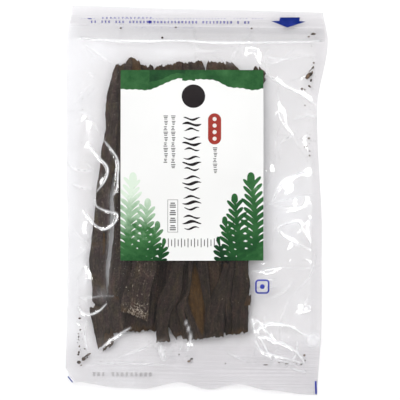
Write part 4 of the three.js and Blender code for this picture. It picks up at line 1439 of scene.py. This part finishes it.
def swell_edge(start, end, top, depth, swing, phase):
    """A band of wash under a straight top, with an uneven lower edge that arches over the round mark."""
    u = np.linspace(start, end, 60)
    low = top - depth + ARCH * np.exp(-(((u - TITLE_X) / ARCH_REACH) ** 4))
    broad, small, fine = np.sin(u / 6.3 + phase), np.sin(u / 2.3 + 2 * phase), np.sin(u * 1.7 + phase)
    low -= swing * (broad + 0.35 * small + 0.2 * fine)
    return list(zip(u, low)) + [(end, top), (start, top)]


def print_greens():
    """Washes of green along the head, and fronds along the foot, pale at the left and deep at the right."""
    top, side, foot = LABEL_TOP + OVERRUN, LABEL_SIDE + OVERRUN, LABEL_FOOT - OVERRUN
    shapes = []
    for level, (start, end, depth, swing, phase, wash) in enumerate(HEAD_WASHES):
        shapes.append((swell_edge(start, end, top, depth, swing, phase), level, wash))
    # Each group: its side, its fronds, its wash at the foot and how that changes for each millimetre up
    for edge, group, wash, fade in ((-side, PALE_FRONDS, -0.1, 0.026), (side, DEEP_FRONDS, -0.06, 0.002)):
        wash -= fade * LABEL_FOOT
        shapes.append((mound(edge, foot, *MOUND), 0, wash + 0.12, fade))
        for order, (base, height, width, lean, bend) in enumerate(group, 1):
            outline = frond(base, foot, height + OVERRUN, width, lean, bend)
            shapes.append((outline, order, wash - 0.08 * order, fade))
    on_label("label_greens", shapes, green_finish())


def print_title():
    """A column of six marks, each of three wavy brush strokes, and a plain round mark over it."""
    shapes = [(arc(*ROUND_MARK, 0, 352, 44), 0, 0)]
    for k, cy in enumerate(TITLE_PLACES):
        for rise, length, thick in TITLE_STROKES:
            phase = 0.9 * k + 0.4 * rise
            shapes.append((brush_wave(TITLE_X, cy + rise, length, TITLE_SWING, thick, phase), 0, 0))
    on_label("label_title", shapes, ink_finish("dark_ink", (30, 25, 27), (44, 38, 40)))


def print_small():
    """Small grey marks: two columns and a short one of dashes, a boxed column, and a row of fine ticks."""
    shapes = []
    for u, top, count in DASH_COLUMNS:
        for k in range(count):
            stray = DASH["stray"] * ((k + 1) % 3 - 1)
            for rise in DASH["rises"]:
                long = DASH["long"] - DASH["shorter"] * ((k + rise) % 3)
                dash = oblong(u + stray, top - DASH["pitch"] * k - rise, long, DASH["height"])
                shapes.append((dash, 0, 0))
    shapes += [(bar, 0, 0.25) for bar in frame_bars(*NOTE_BOX)]
    for k in range(NOTE["count"]):
        for rise in NOTE["rises"]:
            long = NOTE["long"] - NOTE_SHORTER * (rise == max(NOTE["rises"]))
            dash = oblong(NOTE_BOX[0], NOTE["top"] - NOTE["pitch"] * k + rise, long, NOTE["height"])
            shapes.append((dash, 0, -0.3))
    for k in range(TICKS["count"]):
        height = TICK["height"] - TICK["shorter"] * (k % 2)
        tick = oblong(TICKS["start"] + TICKS["pitch"] * k, TICKS["middle"], TICK["width"], height)
        shapes.append((tick, 0, 0))
    on_label("label_marks", shapes, ink_finish("grey_ink", (40, 36, 37), (92, 88, 90)))


def print_red():
    """A red capsule with four white dots on it."""
    u, v, *_ = CAPSULE
    red = ink_finish("red_ink", (146, 46, 38), (168, 66, 54))
    on_label("label_capsule", [(capsule(*CAPSULE), 0, 0)], red)
    dots = [(arc(u, v + rise, DOT_RADIUS, 0, 350, 20), 2, 0) for rise in DOTS]
    on_label("capsule_dots", dots, ink_finish("white_ink", (220, 212, 208), (228, 222, 218)))


# ---------------------------------------------------------------------------
# Print on the film

INK_GAP = 0.04  # how far the blue marks lie over the film, and the rows of tiny marks
ROWS_GAP = 0.12
ARROW = [
    (50.6, 112.9), (62.9, 113.1), (62.5, 110.9), (66.4, 110.6), (55.2, 106.8), (45.4, 110.6), (50.2, 110.8),
]
# A square frame with rounded corners (its middle, side, line and corner), and the dot in it
ROUND_FRAME = (41.9, -52.2, 8.8, 1.0, 2.2)
FRAME_DOT = 1.5
# The lines at the foot's corners: middle, width, height and turn in degrees
CORNER_BARS = [((-74.9, -110.9), 4.6, 0.7, -50), ((75.9, -114.0), 8.0, 1.1, 93)]
# Rows of tiny marks: start, end, pitch, width, lines to a mark, wash and the share that is missing
HEADER_ROWS = [
    ((-64.9, 108.2), (33.5, 109.1), 2.1, 1.3, 3, -0.06, 0.06),
    ((-58.1, 110.9), (-26.2, 111.4), 2.4, 1.1, 2, 0.1, 0.15),
    ((-71, 110.6), (41.5, 112), 1.9, 0.6, 1, 0.2, 0.2),
    ((-56, 105.3), (36, 106.2), 1.7, 0.6, 1, 0.35, 0.6),
]
FOOT_ROW = ((-60.5, -108.6), (-23, -108.2), 2.7, 1.9, 5, 0.3, 0.15)
# A deep bar at the rows' start and a dot between them, and the lines within a tiny mark
ROW_BAR = (-66.1, 110.5, 2.4, 0.6)
ROW_DOT = (-29.2, 109, 1.0)
LINE_PITCH = 0.5
LINE_HEIGHT = 0.4


def on_film(name, shapes, material, gap):
    """Print shapes on the front film."""

    def place(u, v):
        return u, v

    def surface(x, y):
        return front_height(x, y) + gap

    print_shapes(name, shapes, place, surface, material)


def turned_bar(middle, width, height, degrees):
    """A straight bar, turned about its middle."""
    return [turned(u, v, math.radians(degrees), middle) for u, v in oblong(*middle, width, height)]


def print_film():
    """Blue marks on the film: an arrow at the head, a rounded frame, and lines at two corners."""
    marks = [(ARROW, 0, -0.2)]
    marks += [(part, 0, 0.2) for part in rounded_frame(*ROUND_FRAME)]
    marks.append((arc(*ROUND_FRAME[:2], FRAME_DOT, 0, 350, 18), 0, 0.2))
    marks += [(turned_bar(*bar), 0, 0.1) for bar in CORNER_BARS]
    on_film("film_marks", marks, ink_finish("blue_ink", (0, 32, 112), (66, 74, 184)), INK_GAP)


def tiny_row(dice, start, end, pitch, width, lines, wash, missing):
    """A level row of tiny marks, each of a few short lines of uneven length, with some marks missing."""
    count = int(math.dist(start, end) / pitch)
    out = []
    for k in range(count):
        if dice.random() < missing:
            continue
        u = start[0] + (end[0] - start[0]) * k / count
        v = start[1] + (end[1] - start[1]) * k / count
        for line in range(lines):
            long = width * dice.uniform(0.6, 1)
            out.append((oblong(u, v + LINE_PITCH * line, long, LINE_HEIGHT), 0, wash))
    return out


def print_film_rows():
    """Broken rows of tiny marks: violet in the header, and faint grey in the foot seal."""
    dice = random.Random(SEED)
    low, high, *more = [tiny_row(dice, *row) for row in HEADER_ROWS]
    extra = [(oblong(*ROW_BAR), 0, -0.4), (arc(*ROW_DOT, 0, 345, 16), 2, -0.5)]
    violet = ink_finish("violet_ink", (48, 46, 136), (150, 150, 200))
    on_film("header_rows", low + high + extra + sum(more, []), violet, ROWS_GAP)
    grey = ink_finish("faint_grey_ink", (130, 128, 130), (176, 174, 175))
    on_film("foot_code", tiny_row(dice, *FOOT_ROW), grey, ROWS_GAP)


# ---------------------------------------------------------------------------
# Floor, light and camera. Floor, camera, boxes and cards are placed in metres

MIDDLE_OF_VIEW = (3.1, 0.2)
VIEW_WIDTH = 246.0
CAMERA_HEIGHT = 1.6
SENSOR = 36.0
FLOOR_REACH = 3.0
FLOOR_DROP = 0.0002
# The room's brightness from below to above: each height, 0 to 1, and its level
ROOM = [(0, 0.7), (0.5, 0.6), (0.77, 0.16), (1, 0.12)]
# Soft boxes: name, azimuth, lean from straight overhead, distance and power
BOXES = [("key_box", 135, 24, 1.3, 12.5), ("right_box", -5, 40, 1.6, 6.8), ("head_box", 85, 42, 1.7, 5)]
BOX_SIZE = (1.1, 0.9)
# A ring of cards, taller at the right
CARDS = 10
CARD_LEAN = 67
CARD_DISTANCE = 1.3
CARD_SIZE = (0.7, 0.24)
CARD_POWER = 9.0
TALLER = 1.5


def make_floor():
    """The pale matt floor below the pouch."""
    mesh = bpy.data.meshes.new("floor")
    r = FLOOR_REACH
    mesh.from_pydata([(-r, -r, 0), (r, -r, 0), (r, r, 0), (-r, r, 0)], [], [(0, 1, 2, 3)])
    floor = add_to_scene("floor", mesh)
    floor.location.z = -FLOOR_DROP
    f = Finish("pale_floor")
    body = f.node("BsdfDiffuse", {"Color": (0.92, 0.92, 0.925, 1)})
    mesh.materials.append(f.show(body.outputs[0]))


def softbox(name, azimuth, lean, distance, size, power):
    """A soft area light that faces the pouch. lean is its angle from straight overhead."""
    data = bpy.data.lights.new(name, "AREA")
    data.shape = "RECTANGLE"
    data.size, data.size_y = size
    data.energy = power
    box = add_to_scene(name, data)
    a, t = math.radians(azimuth), math.radians(lean)
    place = Vector((math.cos(a) * math.sin(t), math.sin(a) * math.sin(t), math.cos(t))) * distance
    box.location = place
    box.rotation_euler = place.to_track_quat("Z", "Y").to_euler()
    return box


def light_scene():
    """A dim room with three soft boxes, and a ring of bright cards low around the pouch for the gloss."""
    for name, azimuth, lean, distance, power in BOXES:
        box = softbox(name, azimuth, lean, distance, BOX_SIZE, power)
        box.visible_glossy = False
    for k in range(CARDS):
        azimuth = 360 * k / CARDS
        taller = TALLER if math.cos(math.radians(azimuth)) > 0.5 else 1
        size = (CARD_SIZE[0], CARD_SIZE[1] * taller)
        card = softbox(f"card_{k}", azimuth, CARD_LEAN, CARD_DISTANCE, size, CARD_POWER * taller)
        card.visible_diffuse = False
    world = bpy.data.worlds.new("studio")
    world.use_nodes = True
    room = Nodes(world.node_tree)
    up = room.node("SeparateXYZ", {0: room.node("TexCoord").outputs["Generated"]}).outputs["Z"]
    walls = room.ramp(up, *((height, (level, level, level, 1)) for height, level in ROOM))
    world.node_tree.links.new(walls, world.node_tree.nodes["Background"].inputs["Color"])
    bpy.context.scene.world = world


def place_camera():
    """A camera straight over the pouch, turned as the label is."""
    data = bpy.data.cameras.new("camera")
    data.sensor_width = SENSOR
    data.lens = SENSOR * CAMERA_HEIGHT / (VIEW_WIDTH * MM)
    camera = add_to_scene("camera", data)
    camera.location = (MIDDLE_OF_VIEW[0] * MM, MIDDLE_OF_VIEW[1] * MM, CAMERA_HEIGHT)
    camera.rotation_euler = (0, 0, LABEL_TURN)
    bpy.context.scene.camera = camera


place_camera()
make_floor()
light_scene()
make_film()
make_zip()
dried = wakame_finish()
make_strips("lower_wakame", LOWER_STRIPS, dried, *LOWER_GRID, 0)
make_strips("upper_wakame", UPPER_STRIPS, dried, *UPPER_GRID, len(LOWER_STRIPS))
make_crumbs()
make_label()
print_greens()
print_title()
print_small()
print_red()
print_film()
print_film_rows()
bpy.context.scene.view_settings.view_transform = "Standard"
